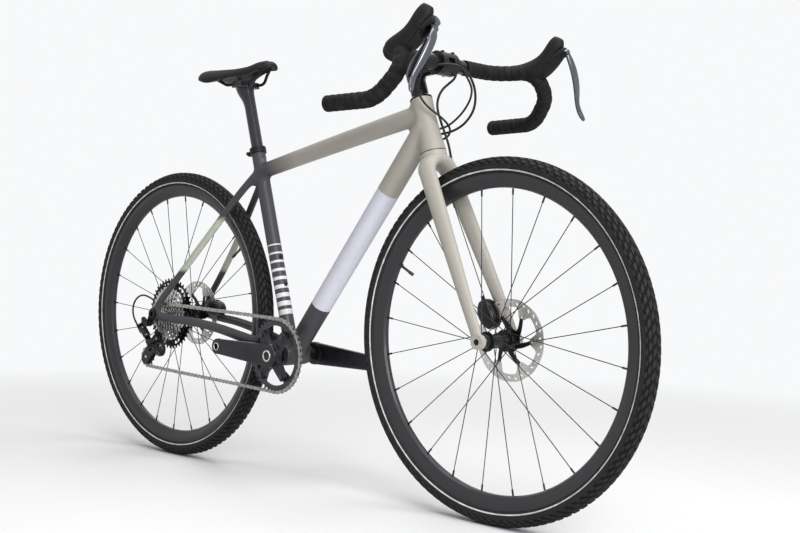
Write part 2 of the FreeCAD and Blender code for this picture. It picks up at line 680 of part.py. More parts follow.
def bar_corners(side, start_y):
    """Corners of the drop bar from near the stem to the bar end."""
    top = BAR_CENTRE
    reach = BAR_REACH
    spread = BAR_HALF_WIDTH
    return [
        top + ACROSS * side * start_y,
        top + ACROSS * side * spread,
        top + Vector(reach, side * (spread + 31), 2),
        top + Vector(reach + 11, side * (spread + 55), -0.5 * BAR_DROP),
        top + Vector(reach - 32, side * (spread + 71), -BAR_DROP),
        top + Vector(-BAR_END_SETBACK, side * (spread + 30 + BAR_FLARE), -BAR_DROP - 1),
    ]


BAR_BENDS = (58.0, 44.0, 44.0, 58.0)


def bar_path(side, start_y):
    return rounded_path(bar_corners(side, start_y), BAR_BENDS)


def handlebar():
    halves = [tube(bar_path(side, 0.0), BAR_RADIUS) for side in (-1, 1)]
    centre = turned(BAR_CENTRE, ACROSS, (
        (0, -70), (BAR_RADIUS, -70), (BAR_CLAMP_RADIUS, -36), (BAR_CLAMP_RADIUS, 36), (BAR_RADIUS, 70), (0, 70)))
    return largest(halves[0].fuse([halves[1], centre]))


def hood_stations(side):
    """Rubber hood from the bar's bend up to the raised tip."""
    corner = BAR_CENTRE + Vector(BAR_REACH, side * (BAR_HALF_WIDTH + 31), 2)
    return [
        (corner + Vector(-46, -side * 16, -1), 16.5, 16.5),
        (corner + Vector(-18, -side * 3, 1), 18.0, 20.0),
        (corner + Vector(14, side * 1, 10), 17.5, 23.0),
        (corner + Vector(36, side * 2, 32), 16.0, 20.0),
        (corner + Vector(49, side * 1, 51), 14.5, 17.0),
        (corner + Vector(56, side * 0, 63), 9.0, 10.0),
    ]


def hood_limb(side):
    return limb(hood_stations(side))


LEVER_PIVOT_X = 73.0
LEVER_PIVOT_Z = 34.0
LEVER_TIP_SPREAD = 64.0


def lever_pivot(side):
    return BAR_CENTRE + Vector(BAR_REACH + LEVER_PIVOT_X, side * (BAR_HALF_WIDTH + 31), LEVER_PIVOT_Z)


def lever_axes(side):
    """Hinge direction, direction down the blade, and forward, for one brake lever."""
    fall = math.sqrt(LEVER_PULL_LENGTH ** 2 - LEVER_TIP_SPREAD ** 2)
    down = unit(Vector(0, side * LEVER_TIP_SPREAD, -fall))
    ahead = Vector(1, 0, 0)
    return ahead.cross(down) * -1.0, down, ahead


LEVER_PIN_RADIUS = 2.5
LEVER_ROOT_RADIUS = 6.5
LEVER_ROOT_WIDTH = 12.0


def lever_body(side):
    corner = BAR_CENTRE + Vector(BAR_REACH, side * (BAR_HALF_WIDTH + 31), 2)
    pivot = lever_pivot(side)
    hinge, down, ahead = lever_axes(side)
    shell = limb([
        (corner + Vector(-6, 0, -4), 13.0, 15.0),
        (corner + Vector(20, side * 1, 2), 13.0, 16.0),
        (corner + Vector(46, side * 1, 20), 12.0, 15.0),
        (pivot + Vector(2, 0, 2), 11.0, 10.0),
    ])
    half = LEVER_ROOT_WIDTH / 2 + FREE
    slot = rod(pivot - hinge * half, pivot + hinge * half, LEVER_ROOT_RADIUS + 1.2)
    mouth = slab(pivot, (hinge, down, ahead), (-half, -3, -26), (half, 60, 40))
    pin = rod(pivot - hinge * (half + 3), pivot + hinge * (half + 3), LEVER_PIN_RADIUS)
    body = shell.cut(slot).cut(mouth).cut(tube(bar_path(side, TAPE_START), BAR_RADIUS))
    return largest(largest(body).fuse(pin))


def lever_root(side):
    """Barrel that turns on the lever's pin."""
    pivot = lever_pivot(side)
    hinge, down, ahead = lever_axes(side)
    half = LEVER_ROOT_WIDTH / 2
    return pivot, hinge, down, ahead, rod(pivot - hinge * half, pivot + hinge * half, LEVER_ROOT_RADIUS)


def lever_bore(side):
    pivot = lever_pivot(side)
    hinge = lever_axes(side)[0]
    return rod(pivot - hinge * 30, pivot + hinge * 30, LEVER_PIN_RADIUS + RUNNING)


def blade_stations(side, start):
    """Curved lever blade, as (share of length, forward bow, half width, half thickness)."""
    pivot, hinge, down, ahead, root = lever_root(side)
    rows = []
    for along, bow, half_width, half_thick in (
            (start, 4.0, 5.5, 4.0), (30.0, 8.0, 8.5, 4.5), (55.0, 8.0, 9.0, 4.5), (90.0, 2.0, 7.5, 4.0),
            (122.0, -2.0, 6.0, 3.6), (LEVER_PULL_LENGTH - 6, 2.0, 5.0, 3.4), (LEVER_PULL_LENGTH, 4.0, 3.0, 2.2)):
        rows.append((pivot + down * along + ahead * bow, half_width, half_thick))
    return rows


def left_brake_lever():
    pivot, hinge, down, ahead, root = lever_root(1)
    blade = limb(blade_stations(1, 4.0), hinge, 2.6)
    return largest(root.fuse(blade).cut(lever_bore(1)))


SHIFT_PIN_DROP = 17.0
SHIFT_PIN_RADIUS = 2.0
TONGUE_HALF = 2.4


def right_lever_yoke():
    pivot, hinge, down, ahead, root = lever_root(-1)
    neck = slab(pivot, (hinge, down, ahead), (-5.0, 0, -5.0), (5.0, 10.0, 7.0))
    centre = pivot + down * SHIFT_PIN_DROP + ahead * 4
    tongue = slab(centre, (hinge, down, ahead), (-4.0, -8.0, -TONGUE_HALF), (4.0, 0, TONGUE_HALF))
    tip = rod(centre - ahead * TONGUE_HALF, centre + ahead * TONGUE_HALF, 4.0)
    pin = rod(centre - ahead * 6.0, centre + ahead * 6.0, SHIFT_PIN_RADIUS)
    return largest(root.fuse([neck, tongue, tip, pin]).cut(lever_bore(-1)))


def right_brake_lever():
    pivot, hinge, down, ahead, root = lever_root(-1)
    centre = pivot + down * SHIFT_PIN_DROP + ahead * 4
    blade = limb(blade_stations(-1, SHIFT_PIN_DROP), hinge, 2.6)
    ears = rod(centre - ahead * 6.0, centre + ahead * 6.0, 5.2)
    slot_half = TONGUE_HALF + FREE
    slot = slab(centre, (hinge, down, ahead), (-12, -20, -slot_half), (12, 6.5, slot_half))
    bore = rod(centre - ahead * 20, centre + ahead * 20, SHIFT_PIN_RADIUS + RUNNING)
    above = slab(centre, (hinge, down, ahead), (-20, -30, -20), (20, -5.3, 20))
    stud_at = pivot + down * PADDLE_DROP
    stud = rod(stud_at - ahead * 7.2, stud_at + ahead * 5, SHIFT_PIN_RADIUS)
    return largest(blade.fuse(ears).cut(slot).cut(above).cut(bore).fuse(stud))


PADDLE_DROP = 42.0
PADDLE_BACK = -2.2


def right_shift_paddle():
    pivot, hinge, down, ahead = lever_root(-1)[:4]
    stud_at = pivot + down * PADDLE_DROP
    back = stud_at + ahead * PADDLE_BACK
    eye = rod(back, back - ahead * 3.0, 6.0)
    plate = limb([(back - ahead * 1.5, 5.0, 1.5), (back - ahead * 3.0 + down * 30 + hinge * 3, 7.0, 1.5),
                  (back - ahead * 5.5 + down * 62 + hinge * 5, 9.0, 1.5),
                  (back - ahead * 6.5 + down * 78 + hinge * 5, 5.0, 1.2)], hinge, 2.8)
    bore = rod(stud_at - ahead * 20, stud_at + ahead * 20, SHIFT_PIN_RADIUS + RUNNING)
    return largest(eye.fuse(plate).cut(bore))


# Wheels

def tyre(axle):
    half = TYRE_WIDTH / 2
    centre_r = TYRE_RADIUS - half
    inner = half - TYRE_WALL
    edge = RIM_EDGE_RADIUS + 0.4
    bead_out = RIM_WIDTH / 2 - RIM_WALL - 0.1
    bead_in = bead_out - 2.6
    seat_r = RIM_SEAT_RADIUS + 0.1
    lip_y = math.sqrt(half ** 2 - (centre_r - edge) ** 2)
    neck_r = centre_r - math.sqrt(inner ** 2 - bead_in ** 2)

    def at(radius, y):
        return axle + Vector(0, y, radius)

    outer_arc = Part.Arc(at(edge, lip_y), at(TYRE_RADIUS, 0), at(edge, -lip_y)).toShape()
    inner_arc = Part.Arc(at(neck_r, -bead_in), at(centre_r + inner, 0), at(neck_r, bead_in)).toShape()
    right = [at(edge, -lip_y), at(edge, -bead_out), at(seat_r, -bead_out), at(seat_r, -bead_in), at(neck_r, -bead_in)]
    left = [at(neck_r, bead_in), at(seat_r, bead_in), at(seat_r, bead_out), at(edge, bead_out), at(edge, lip_y)]
    edges = [outer_arc]
    edges += [Part.LineSegment(a, b).toShape() for a, b in zip(right, right[1:])]
    edges += [inner_arc]
    edges += [Part.LineSegment(a, b).toShape() for a, b in zip(left, left[1:])]
    return Part.Face(Part.Wire(edges)).revolve(axle, ACROSS, 360)


def rim(axle, valve_angle):
    half = RIM_WIDTH / 2
    bed = half - RIM_WALL
    shoulder = RIM_INNER_RADIUS + 14.0
    ring = turned(axle, ACROSS, (
        (RIM_INNER_RADIUS, -3.5), (RIM_INNER_RADIUS, 3.5), (RIM_INNER_RADIUS + 3.0, 7.5), (shoulder, half - 1.0),
        (shoulder + 4, half), (RIM_EDGE_RADIUS, half), (RIM_EDGE_RADIUS, bed), (RIM_SEAT_RADIUS, bed),
        (RIM_SEAT_RADIUS, 7.5), (RIM_SEAT_RADIUS - 4, 5.0), (RIM_SEAT_RADIUS - 4, -5.0), (RIM_SEAT_RADIUS, -7.5),
        (RIM_SEAT_RADIUS, -bed), (RIM_EDGE_RADIUS, -bed), (RIM_EDGE_RADIUS, -half), (shoulder + 4, -half),
        (shoulder, 1.0 - half), (RIM_INNER_RADIUS + 3.0, -7.5)))
    foot = polar(axle, RIM_INNER_RADIUS - 0.05, valve_angle)
    inward = unit(polar(axle, 0, 0) - foot)
    nut = rod(foot, foot + inward * 3.5, VALVE_RADIUS + 1.8)
    stem = rod(foot + inward * 3.5, foot + inward * (VALVE_LENGTH - 10), VALVE_RADIUS)
    cap = rod(foot + inward * (VALVE_LENGTH - 10), foot + inward * VALVE_LENGTH, VALVE_RADIUS + 0.7)
    return Part.makeCompound([ring, nut.fuse([stem, cap])])


def spokes(axle, first_angle, direction, flanges):
    """Two-cross spokes; each spoke and its nipple is one solid."""
    pieces = []
    step = 360.0 / SPOKE_COUNT
    cross = 2 * 360.0 / (SPOKE_COUNT / 2)
    for k in range(SPOKE_COUNT):
        rim_angle = first_angle + direction * step * k
        y, radius = flanges[k % 2]
        pull = 1 if (k // 2) % 2 else -1
        side = FLANGE_THICKNESS / 2 + SPOKE_RADIUS + SPOKE_STAND_OFF
        head = polar(axle, radius - 3.0, rim_angle + pull * cross, y + pull * side)
        seat_point = polar(axle, RIM_INNER_RADIUS - 0.45, rim_angle)
        along = unit(head - seat_point)
        neck = seat_point + along * NIPPLE_LENGTH
        pieces.append(rod(head, neck, SPOKE_RADIUS).fuse(rod(neck, seat_point, NIPPLE_RADIUS)))
    return Part.makeCompound(pieces)


def hub(axle, right_end, high_y, flanges, barrel, rotor_y):
    """Hub shell turning on the axle, with a spline end that carries the rotor."""
    bore = AXLE_RADIUS + RUNNING
    (left_y, left_r), (right_y, right_r) = flanges
    half = FLANGE_THICKNESS / 2
    neck = HUB_NECK_RADIUS
    spline_end = rotor_y + ROTOR_THICKNESS / 2 + 1.5
    return turned(axle, ACROSS, ((bore, right_end[0][1]),) + tuple(right_end) + (
        (neck, right_y - half), (right_r, right_y - half), (right_r, right_y + half), (neck, right_y + half),
        (barrel, right_y + half + 10), (barrel, left_y - half - 10), (neck, left_y - half), (left_r, left_y - half),
        (left_r, left_y + half), (neck, left_y + half), (neck, left_y + half + 5), (17.0, left_y + half + 6),
        (17.0, spline_end), (10.0, spline_end + 1), (10.0, high_y), (bore, high_y)))


def rotor(axle, y):
    """Slotted steel brake ring on an alloy spider, with its lockring."""
    half = ROTOR_THICKNESS / 2
    inner = ROTOR_RADIUS - ROTOR_BAND
    band = turned(axle, ACROSS, ((inner, y - half), (ROTOR_RADIUS, y - half), (ROTOR_RADIUS, y + half), (inner, y + half)))
    cuts = []
    for k in range(ROTOR_SLOTS):
        angle = 360.0 * k / ROTOR_SLOTS
        middle = inner + ROTOR_BAND * (0.42 if k % 2 else 0.58)
        low = polar(axle, middle - 2.6, angle - 2.2, y - 2)
        high = polar(axle, middle + 2.6, angle + 2.2, y - 2)
        along = unit(high - low)
        wide = Vector(-along.z, 0, along.x) * 1.4
        cuts.append(prism([low - wide, high - wide, high + wide, low + wide], ACROSS * 4))
    band = band.cut(Part.makeCompound(cuts))
    hole = 17.0 + RUNNING
    hub_ring = turned(axle, ACROSS, ((hole, y - half), (24.0, y - half), (24.0, y + half), (hole, y + half)))
    arms = []
    for k in range(ROTOR_ARMS):
        angle = 360.0 * k / ROTOR_ARMS
        root_a = polar(axle, 22.0, angle - 14, y - half)
        root_b = polar(axle, 22.0, angle + 14, y - half)
        tip_a = polar(axle, inner + 1.5, angle + 20, y - half)
        tip_b = polar(axle, inner + 1.5, angle + 11, y - half)
        arms.append(prism([root_a, tip_b, tip_a, root_b], ACROSS * ROTOR_THICKNESS))
    spider = hub_ring.fuse(arms).cut(band)
    face = y + half
    lockring = turned(axle, ACROSS, (
        (hole, face), (20.5, face), (20.5, face + 3.2), (19.0, face + 4.6), (10.0 + RUNNING, face + 4.6),
        (10.0 + RUNNING, face + 2.7), (hole, face + 2.7)))
    return Part.makeCompound([largest(band), largest(spider), lockring])


def thru_axle(axle, width, thickness, head_side):
    reach = width / 2 + thickness
    shank = rod(axle - ACROSS * reach, axle + ACROSS * reach, AXLE_RADIUS)
    under = reach + RUNNING
    head = turned(axle, ACROSS * head_side, (
        (0, reach - 2), (AXLE_RADIUS, reach - 2), (AXLE_RADIUS, under), (9.5, under), (9.5, reach + 2), (8.0, reach + 4.5),
        (4.0, reach + 4.5), (4.0, reach + 1), (0, reach + 1)))
    return shank.fuse(head)


# Brakes

def caliper(axle, centre, along, rotor_y, carrier, long_half, pad_half):
    """Flat-mount caliper straddling the rotor; along runs down its length."""
    out = Vector(along.z, 0, -along.x)
    half_width = 13.5
    middle = Vector(centre.x, rotor_y, centre.z)
    axes = (along, ACROSS, out)
    body = limb([(middle - along * long_half, half_width - 3, 9.0), (middle - along * (long_half - 5), half_width, 13.0),
                 (middle + along * (long_half - 5), half_width, 13.0),
                 (middle + along * long_half, half_width - 3, 9.0)], ACROSS, 3.6)
    disc_half = ROTOR_THICKNESS / 2 + 1.0
    pad_space = ROTOR_THICKNESS / 2 + PAD_GAP + PAD_THICKNESS + FREE
    slot_centre = Vector(axle.x, rotor_y, axle.z)
    disc_slot = rod(slot_centre - ACROSS * disc_half, slot_centre + ACROSS * disc_half, ROTOR_RADIUS + 1.5)
    pad_slot = slab(middle, axes, (-pad_half - FREE, -pad_space, -30), (pad_half + FREE, pad_space, 8.5))
    return largest(body.cut(carrier).cut(disc_slot).cut(pad_slot))


def pad(centre, along, rotor_y, side, pad_half):
    """Brake pad that slides towards the rotor."""
    out = Vector(along.z, 0, -along.x)
    middle = Vector(centre.x, rotor_y, centre.z)
    near = side * (ROTOR_THICKNESS / 2 + PAD_GAP)
    far = near + side * PAD_THICKNESS
    low, high = sorted((near, far))
    return slab(middle, (along, ACROSS, out), (-pad_half, low, -9.0), (pad_half, high, 8.0))


BLADE_DOWN = unit(FRONT - steer(HEAD_TUBE_START - CROWN_HEIGHT * 1.5))
BLADE_BACK = Vector(BLADE_DOWN.z, 0, -BLADE_DOWN.x)
FRONT_CALIPER = FRONT - BLADE_DOWN * 66 + BLADE_BACK * 26
STAY_ALONG = unit(Vector(1, 0, -0.13))
REAR_CALIPER = REAR + Vector(72.0, 0, 16.0)
CALIPER_HALF = 29.0
PAD_HALF = 11.0


# Drivetrain

def pitch_radius(teeth):
    return CHAIN_PITCH / (2 * math.sin(math.pi / teeth))


def sprocket(centre, y, teeth, phase, thickness, bore, seat_clearance=0.5):
    """Toothed plate: a roller seat between each pair of teeth, on the pitch circle."""
    radius = pitch_radius(teeth)
    seat_r = ROLLER_RADIUS + seat_clearance
    tip = radius + 2.0
    step = 360.0 / teeth
    low = y - thickness / 2
    edges = []
    first = None
    at = None
    for k in range(teeth):
        angle = phase + k * step
        pin = polar(centre, radius, angle, low)
        outward = unit(pin - Vector(centre.x, low, centre.z))
        turn = Vector(-outward.z, 0, outward.x)
        start = pin - turn * seat_r * 0.985 + outward * seat_r * 0.17
        bottom = pin - outward * seat_r
        end = pin + turn * seat_r * 0.985 + outward * seat_r * 0.17
        tip_a = polar(centre, tip, angle + step * 0.5 - math.degrees(0.7 / tip), low)
        tip_b = polar(centre, tip, angle + step * 0.5 + math.degrees(0.7 / tip), low)
        if at is not None:
            edges.append(Part.LineSegment(at, start).toShape())
        else:
            first = start
        edges.append(Part.Arc(start, bottom, end).toShape())
        edges.append(Part.LineSegment(end, tip_a).toShape())
        edges.append(Part.LineSegment(tip_a, tip_b).toShape())
        at = tip_b
    edges.append(Part.LineSegment(at, first).toShape())
    plate = Part.Face(Part.Wire(edges)).extrude(ACROSS * thickness)
    hole = rod(Vector(centre.x, low - 1, centre.z), Vector(centre.x, low + thickness + 1, centre.z), bore)
    return plate.cut(hole)


def tangent_angle(here, r_here, there, r_there, turn_here, turn_there):
    """Angle on the first circle where a run to the second circle leaves it; turns are +1 or -1."""
    dx = there.x - here.x
    dz = there.z - here.z
    base = math.atan2(dz, dx)
    gap = turn_here * r_here - turn_there * r_there
    opening = math.acos(turn_here * gap / math.hypot(dx, dz))
    return base + turn_here * opening


def pin_on(centre, radius, start, distance, near):
    """Point on a circle at a set distance from start, on the side closest to near."""
    dx = centre.x - start.x
    dz = centre.z - start.z
    span = math.hypot(dx, dz)
    along = (distance ** 2 - radius ** 2 + span ** 2) / (2 * span)
    height = math.sqrt(max(0.0, distance ** 2 - along ** 2))
    options = []
    for sign in (-1, 1):
        options.append(Vector(start.x + dx / span * along - dz / span * height * sign, 0,
                              start.z + dz / span * along + dx / span * height * sign))
    return min(options, key=lambda p: (p - near).Length)


def chain_walk(wheels):
    """Pins round a closed list of (centre, teeth, turn), starting on the first wheel's leaving point.

    Returns the pins, each wheel's pin angle, and the error that is left on the last run.
    """
    pins = []
    phases = []
    count = len(wheels)
    leave = []
    enter = []
    for k in range(count):
        here, teeth, turn = wheels[k]
        there, teeth_b, turn_b = wheels[(k + 1) % count]
        angle = tangent_angle(here, pitch_radius(teeth), there, pitch_radius(teeth_b), turn, turn_b)
        leave.append(angle)
        flip = 0.0 if turn == turn_b else math.pi
        enter.append(angle + flip)
    start_centre, start_teeth = wheels[0][:2]
    at = polar(start_centre, pitch_radius(start_teeth), math.degrees(leave[0]))
    pins.append(at)
    phases.append(math.degrees(leave[0]))
    for k in range(1, count + 1):
        centre, teeth, turn = wheels[k % count]
        radius = pitch_radius(teeth)
        touch = polar(centre, radius, math.degrees(enter[k - 1]))
        links = max(1, round((touch - at).Length / CHAIN_PITCH))
        if k < count:
            first = pin_on(centre, radius, at, links * CHAIN_PITCH, touch)
        else:
            step = 2 * math.pi / teeth
            angle = math.atan2(touch.z - centre.z, touch.x - centre.x)
            angle = leave[0] + step * round((angle - leave[0]) / step)
            first = polar(centre, radius, math.degrees(angle))
        error = (first - at).Length - links * CHAIN_PITCH
        for n in range(1, links):
            pins.append(at + (first - at) * (n / links))
        angle = math.atan2(first.z - centre.z, first.x - centre.x)
        step = -turn * 2 * math.pi / teeth
        sweep = (leave[k % count] - angle) * -turn
        sweep = sweep % (2 * math.pi)
        turns = round(sweep / abs(step))
        if k < count:
            phases.append(math.degrees(angle))
            for n in range(turns + 1):
                at = polar(centre, radius, math.degrees(angle + step * n))
                pins.append(at)
        else:
            for n in range(turns):
                pins.append(polar(centre, radius, math.degrees(angle + step * n)))
    return pins, phases, error


COG_Y = SMALLEST_COG_Y + COG_SPACING * CHAIN_COG
GUIDE = REAR + Vector(GUIDE_PULLEY[0], 0, GUIDE_PULLEY[1])


def tension_centre(angle):
    return polar(GUIDE, PULLEY_CENTRES, angle)


def chain_wheels(angle):
    """Chainring, cog, guide pulley and tension pulley, against the chain's travel."""
    return [(BRACKET, CHAINRING_TEETH, -1), (REAR, COGS[CHAIN_COG], -1), (GUIDE, PULLEY_TEETH, 1),
            (tension_centre(angle), PULLEY_TEETH, -1)]


def settled_cage_angle():
    """Cage angle nearest the rest angle at which the chain closes with whole links."""
    best = None
    previous = None
    for tenth in range(-300, 301):
        angle = CAGE_REST_ANGLE + tenth / 20.0
        error = chain_walk(chain_wheels(angle))[2]
        if previous is not None and previous[1] * error <= 0 and abs(error) < CHAIN_PITCH / 4:
            low, high = previous, (angle, error)
            for _ in range(40):
                middle = (low[0] + high[0]) / 2
                value = chain_walk(chain_wheels(middle))[2]
                if low[1] * value <= 0:
                    high = (middle, value)
                else:
                    low = (middle, value)
            pins = chain_walk(chain_wheels(low[0]))[0]
            even = len(pins) % 2 == 0
            if even and (best is None or abs(low[0] - CAGE_REST_ANGLE) < abs(best - CAGE_REST_ANGLE)):
                best = low[0]
        previous = (angle, error)
    return best


CAGE_ANGLE = settled_cage_angle()
TENSION = tension_centre(CAGE_ANGLE)
CHAIN_PINS, WHEEL_PHASES, CHAIN_ERROR = chain_walk(chain_wheels(CAGE_ANGLE))
print("cage angle", CAGE_ANGLE, "chain links", len(CHAIN_PINS), "closing error", CHAIN_ERROR)


def chain_line_y(point):
    """Crosswise place of the chain, from the cog's plane to the chainring's."""
    start = REAR.x + pitch_radius(COGS[CHAIN_COG])
    end = BRACKET.x - pitch_radius(CHAINRING_TEETH)
    share = min(1.0, max(0.0, (point.x - start) / (end - start)))
    return COG_Y + (CHAINRING_Y - COG_Y) * share * share * (3 - 2 * share)


def chain():
    """Roller chain of alternating inner and outer links."""
    pieces = []
    inner_half = CHAIN_INNER_WIDTH / 2
    outer_half = inner_half + PLATE_THICKNESS + 0.12
    count = len(CHAIN_PINS)
    pins = [Vector(p.x, chain_line_y(p), p.z) for p in CHAIN_PINS]
    for k in range(count):
        a = pins[k]
        b = pins[(k + 1) % count]
        along = unit(b - a)
        wide = unit(ACROSS - along * ACROSS.dot(along))
        up = along.cross(wide)
        near = inner_half if k % 2 == 0 else outer_half
        plates = []
        for side in (-1, 1):
            face = wide * side * near
            travel = wide * side * PLATE_THICKNESS
            waist = up * PLATE_RADIUS * 0.62
            middle = (a + b) * 0.5
            corner = up * PLATE_RADIUS
            outline = [
                Part.Arc(a + corner, a - along * PLATE_RADIUS, a - corner).toShape(),
                Part.Arc(a - corner, middle - waist, b - corner).toShape(),
                Part.Arc(b - corner, b + along * PLATE_RADIUS, b + corner).toShape(),
                Part.Arc(b + corner, middle + waist, a + corner).toShape(),
            ]
            wire = Part.Wire(outline)
            wire.translate(face)
            plates.append(Part.Face(wire).extrude(travel))
        if k % 2 == 0:
            reach = wide * inner_half
            joints = [rod(p - reach, p + reach, ROLLER_RADIUS) for p in (a, b)]
            pieces.append(plates[0].fuse(joints + [plates[1]]))
        else:
            pieces += plates
    return Part.makeCompound(pieces)


def cassette():
    cogs = []
    for k, teeth in enumerate(COGS):
        y = SMALLEST_COG_Y + COG_SPACING * k
        phase = WHEEL_PHASES[1] if k == CHAIN_COG else 0.0
        plate = sprocket(REAR, y, teeth, phase, COG_THICKNESS, FREEHUB_RADIUS)
        inner = pitch_radius(teeth) - 6.5
        if inner > FREEHUB_RADIUS + 12:
            windows = []
            for n in range(6):
                mid = (inner + FREEHUB_RADIUS + 4) / 2
                size = (inner - FREEHUB_RADIUS - 8) / 2
                at = polar(REAR, mid, 60.0 * n + 5 * k, y - 3)
                windows.append(rod(at, at + ACROSS * 6, size))
            plate = plate.cut(Part.makeCompound(windows))
        cogs.append(largest(plate))
        if k:
            gap_low = y - COG_SPACING + COG_THICKNESS / 2
            cogs.append(turned(REAR, ACROSS, (
                (FREEHUB_RADIUS, gap_low), (FREEHUB_RADIUS + 2.2, gap_low),
                (FREEHUB_RADIUS + 2.2, y - COG_THICKNESS / 2), (FREEHUB_RADIUS, y - COG_THICKNESS / 2))))
    top = SMALLEST_COG_Y - COG_THICKNESS / 2
    lockring = turned(REAR, ACROSS, (
        (9.5 + RUNNING, top - 2.5), (18.0, top - 2.5), (19.0, top - 1.5), (19.0, top), (9.5 + RUNNING, top)))
    return Part.makeCompound(cogs + [lockring])


def freehub_body():
    top = SMALLEST_COG_Y - COG_THICKNESS / 2
    last = SMALLEST_COG_Y + COG_SPACING * (len(COGS) - 1) + COG_THICKNESS / 2
    bore = AXLE_RADIUS + RUNNING
    end = -REAR_HUB_WIDTH / 2 + FREE
    return turned(REAR, ACROSS, (
        (bore, end), (9.5, end), (9.5, top), (FREEHUB_RADIUS, top), (FREEHUB_RADIUS, last + 1.2), (bore, last + 1.2)))


CRANK_BACK = Vector(-math.cos(CRANK_TILT), 0, math.sin(CRANK_TILT))
SPIDER_ANGLES = (52.0, 128.0, 232.0, 308.0)


def rounded_puck(centre, side, low, high, radius):
    """Short cylinder across the bicycle with its edges broken."""
    edge = 2.6
    return turned(centre, ACROSS * side, (
        (0, low), (radius - edge, low), (radius, low + edge), (radius, high - edge), (radius - edge, high), (0, high)))


def crank_arm(side, ahead):
    """Arm that is wide at the axle and narrower at the pedal eye."""
    eye = BRACKET + ahead * CRANK_LENGTH
    inner = CRANK_OUTER_Y - CRANK_THICKNESS
    pedal_inner = PEDAL_OUTER_Y - PEDAL_END_THICKNESS
    root = BRACKET + ahead * 2 + ACROSS * side * (CRANK_OUTER_Y + inner) / 2
    tip = eye - ahead * 2 + ACROSS * side * (PEDAL_OUTER_Y + pedal_inner) / 2
    slim = 0.8
    arm = limb([(root, CRANK_THICKNESS / 2 - slim / 2, CRANK_ROOT_HALF - slim),
                (tip, PEDAL_END_THICKNESS / 2 - slim / 2, CRANK_TIP_HALF - slim)], ACROSS, 5.0)
    boss = rounded_puck(BRACKET, side, inner, CRANK_OUTER_Y, CRANK_ROOT_HALF)
    end = rounded_puck(eye, side, pedal_inner, PEDAL_OUTER_Y, CRANK_TIP_HALF)
    bore = rod(eye + ACROSS * side * 40, eye + ACROSS * side * 120, PEDAL_BORE_RADIUS)
    return arm.fuse([boss, end]).cut(bore)


def right_crank_arm():
    arm = crank_arm(-1, CRANK_BACK)
    inner = CRANK_OUTER_Y - CRANK_THICKNESS
    plane = -CHAINRING_Y + 2.2
    spindle = rod(BRACKET - ACROSS * (CRANK_OUTER_Y - 2), BRACKET + ACROSS * (CRANK_OUTER_Y - 3), SPINDLE_RADIUS)
    collar = rod(BRACKET - ACROSS * (inner + 3), BRACKET - ACROSS * (BRACKET_SHELL_WIDTH / 2 + BEARING_CUP_WIDTH + FREE), 17.0)
    arms = []
    for angle in SPIDER_ANGLES:
        outward = polar(Vector(0, 0, 0), 1, angle)
        wide = Vector(-outward.z, 0, outward.x)
        root = BRACKET + outward * 8 - ACROSS * plane
        tip = BRACKET + outward * (BOLT_CIRCLE_RADIUS + 8) - ACROSS * plane
        arms.append(prism([root - wide * 15, tip - wide * 8, tip + wide * 8, root + wide * 15],
                          ACROSS * -(inner - plane + 4)))
    cuts = [rod(BRACKET - ACROSS * 100, BRACKET + ACROSS * 100, SPINDLE_BORE_RADIUS)]
    for angle in SPIDER_ANGLES:
        at = polar(BRACKET, BOLT_CIRCLE_RADIUS, angle, -100)
        cuts.append(rod(at, at + ACROSS * 80, 4.0))
    spider = spindle.fuse([collar] + arms).cut([arm.cut(spindle)] + cuts)
    return Part.makeCompound([largest(arm.cut(spindle)), largest(spider)])


def left_crank_arm():
    arm = crank_arm(1, CRANK_BACK * -1.0)
    spindle_bore = rod(BRACKET, BRACKET + ACROSS * 120, SPINDLE_RADIUS)
    return largest(arm.cut(spindle_bore))


def chainring():
    low = CHAINRING_Y
    radius = pitch_radius(CHAINRING_TEETH)
    inner = radius - CHAINRING_BAND
    teeth = sprocket(BRACKET, CHAINRING_Y, CHAINRING_TEETH, WHEEL_PHASES[0], 2.0, inner)
    stiffener = turned(BRACKET, ACROSS, (
        (inner, low - 2.0), (radius - 7.5, low - 2.0), (radius - 6.0, low - 1.0), (radius - 6.0, low + 1.0),
        (radius - 7.5, low + 2.0), (inner, low + 2.0)))
    tabs = []
    bolts = []
    for angle in SPIDER_ANGLES:
        outward = polar(Vector(0, 0, 0), 1, angle)
        wide = Vector(-outward.z, 0, outward.x)
        root = BRACKET + outward * (BOLT_CIRCLE_RADIUS - 8) + ACROSS * (low - 2.0)
        tip = BRACKET + outward * (inner + 1.5) + ACROSS * (low - 2.0)
        tabs.append(prism([root - wide * 7, tip - wide * 13, tip + wide * 13, root + wide * 7], ACROSS * 4))
        at = polar(BRACKET, BOLT_CIRCLE_RADIUS, angle, low + 2.0)
        outer = CRANK_OUTER_Y - CRANK_THICKNESS + 4
        head = polar(BRACKET, BOLT_CIRCLE_RADIUS, angle, -outer)
        bolts.append(rod(head, at, 4.0).fuse(rod(head - ACROSS * 2.2, head, 6.0)))
    ring = teeth.fuse([stiffener] + tabs).cut(bolts)
    return Part.makeCompound([largest(ring.removeSplitter())] + bolts)


# Rear derailleur

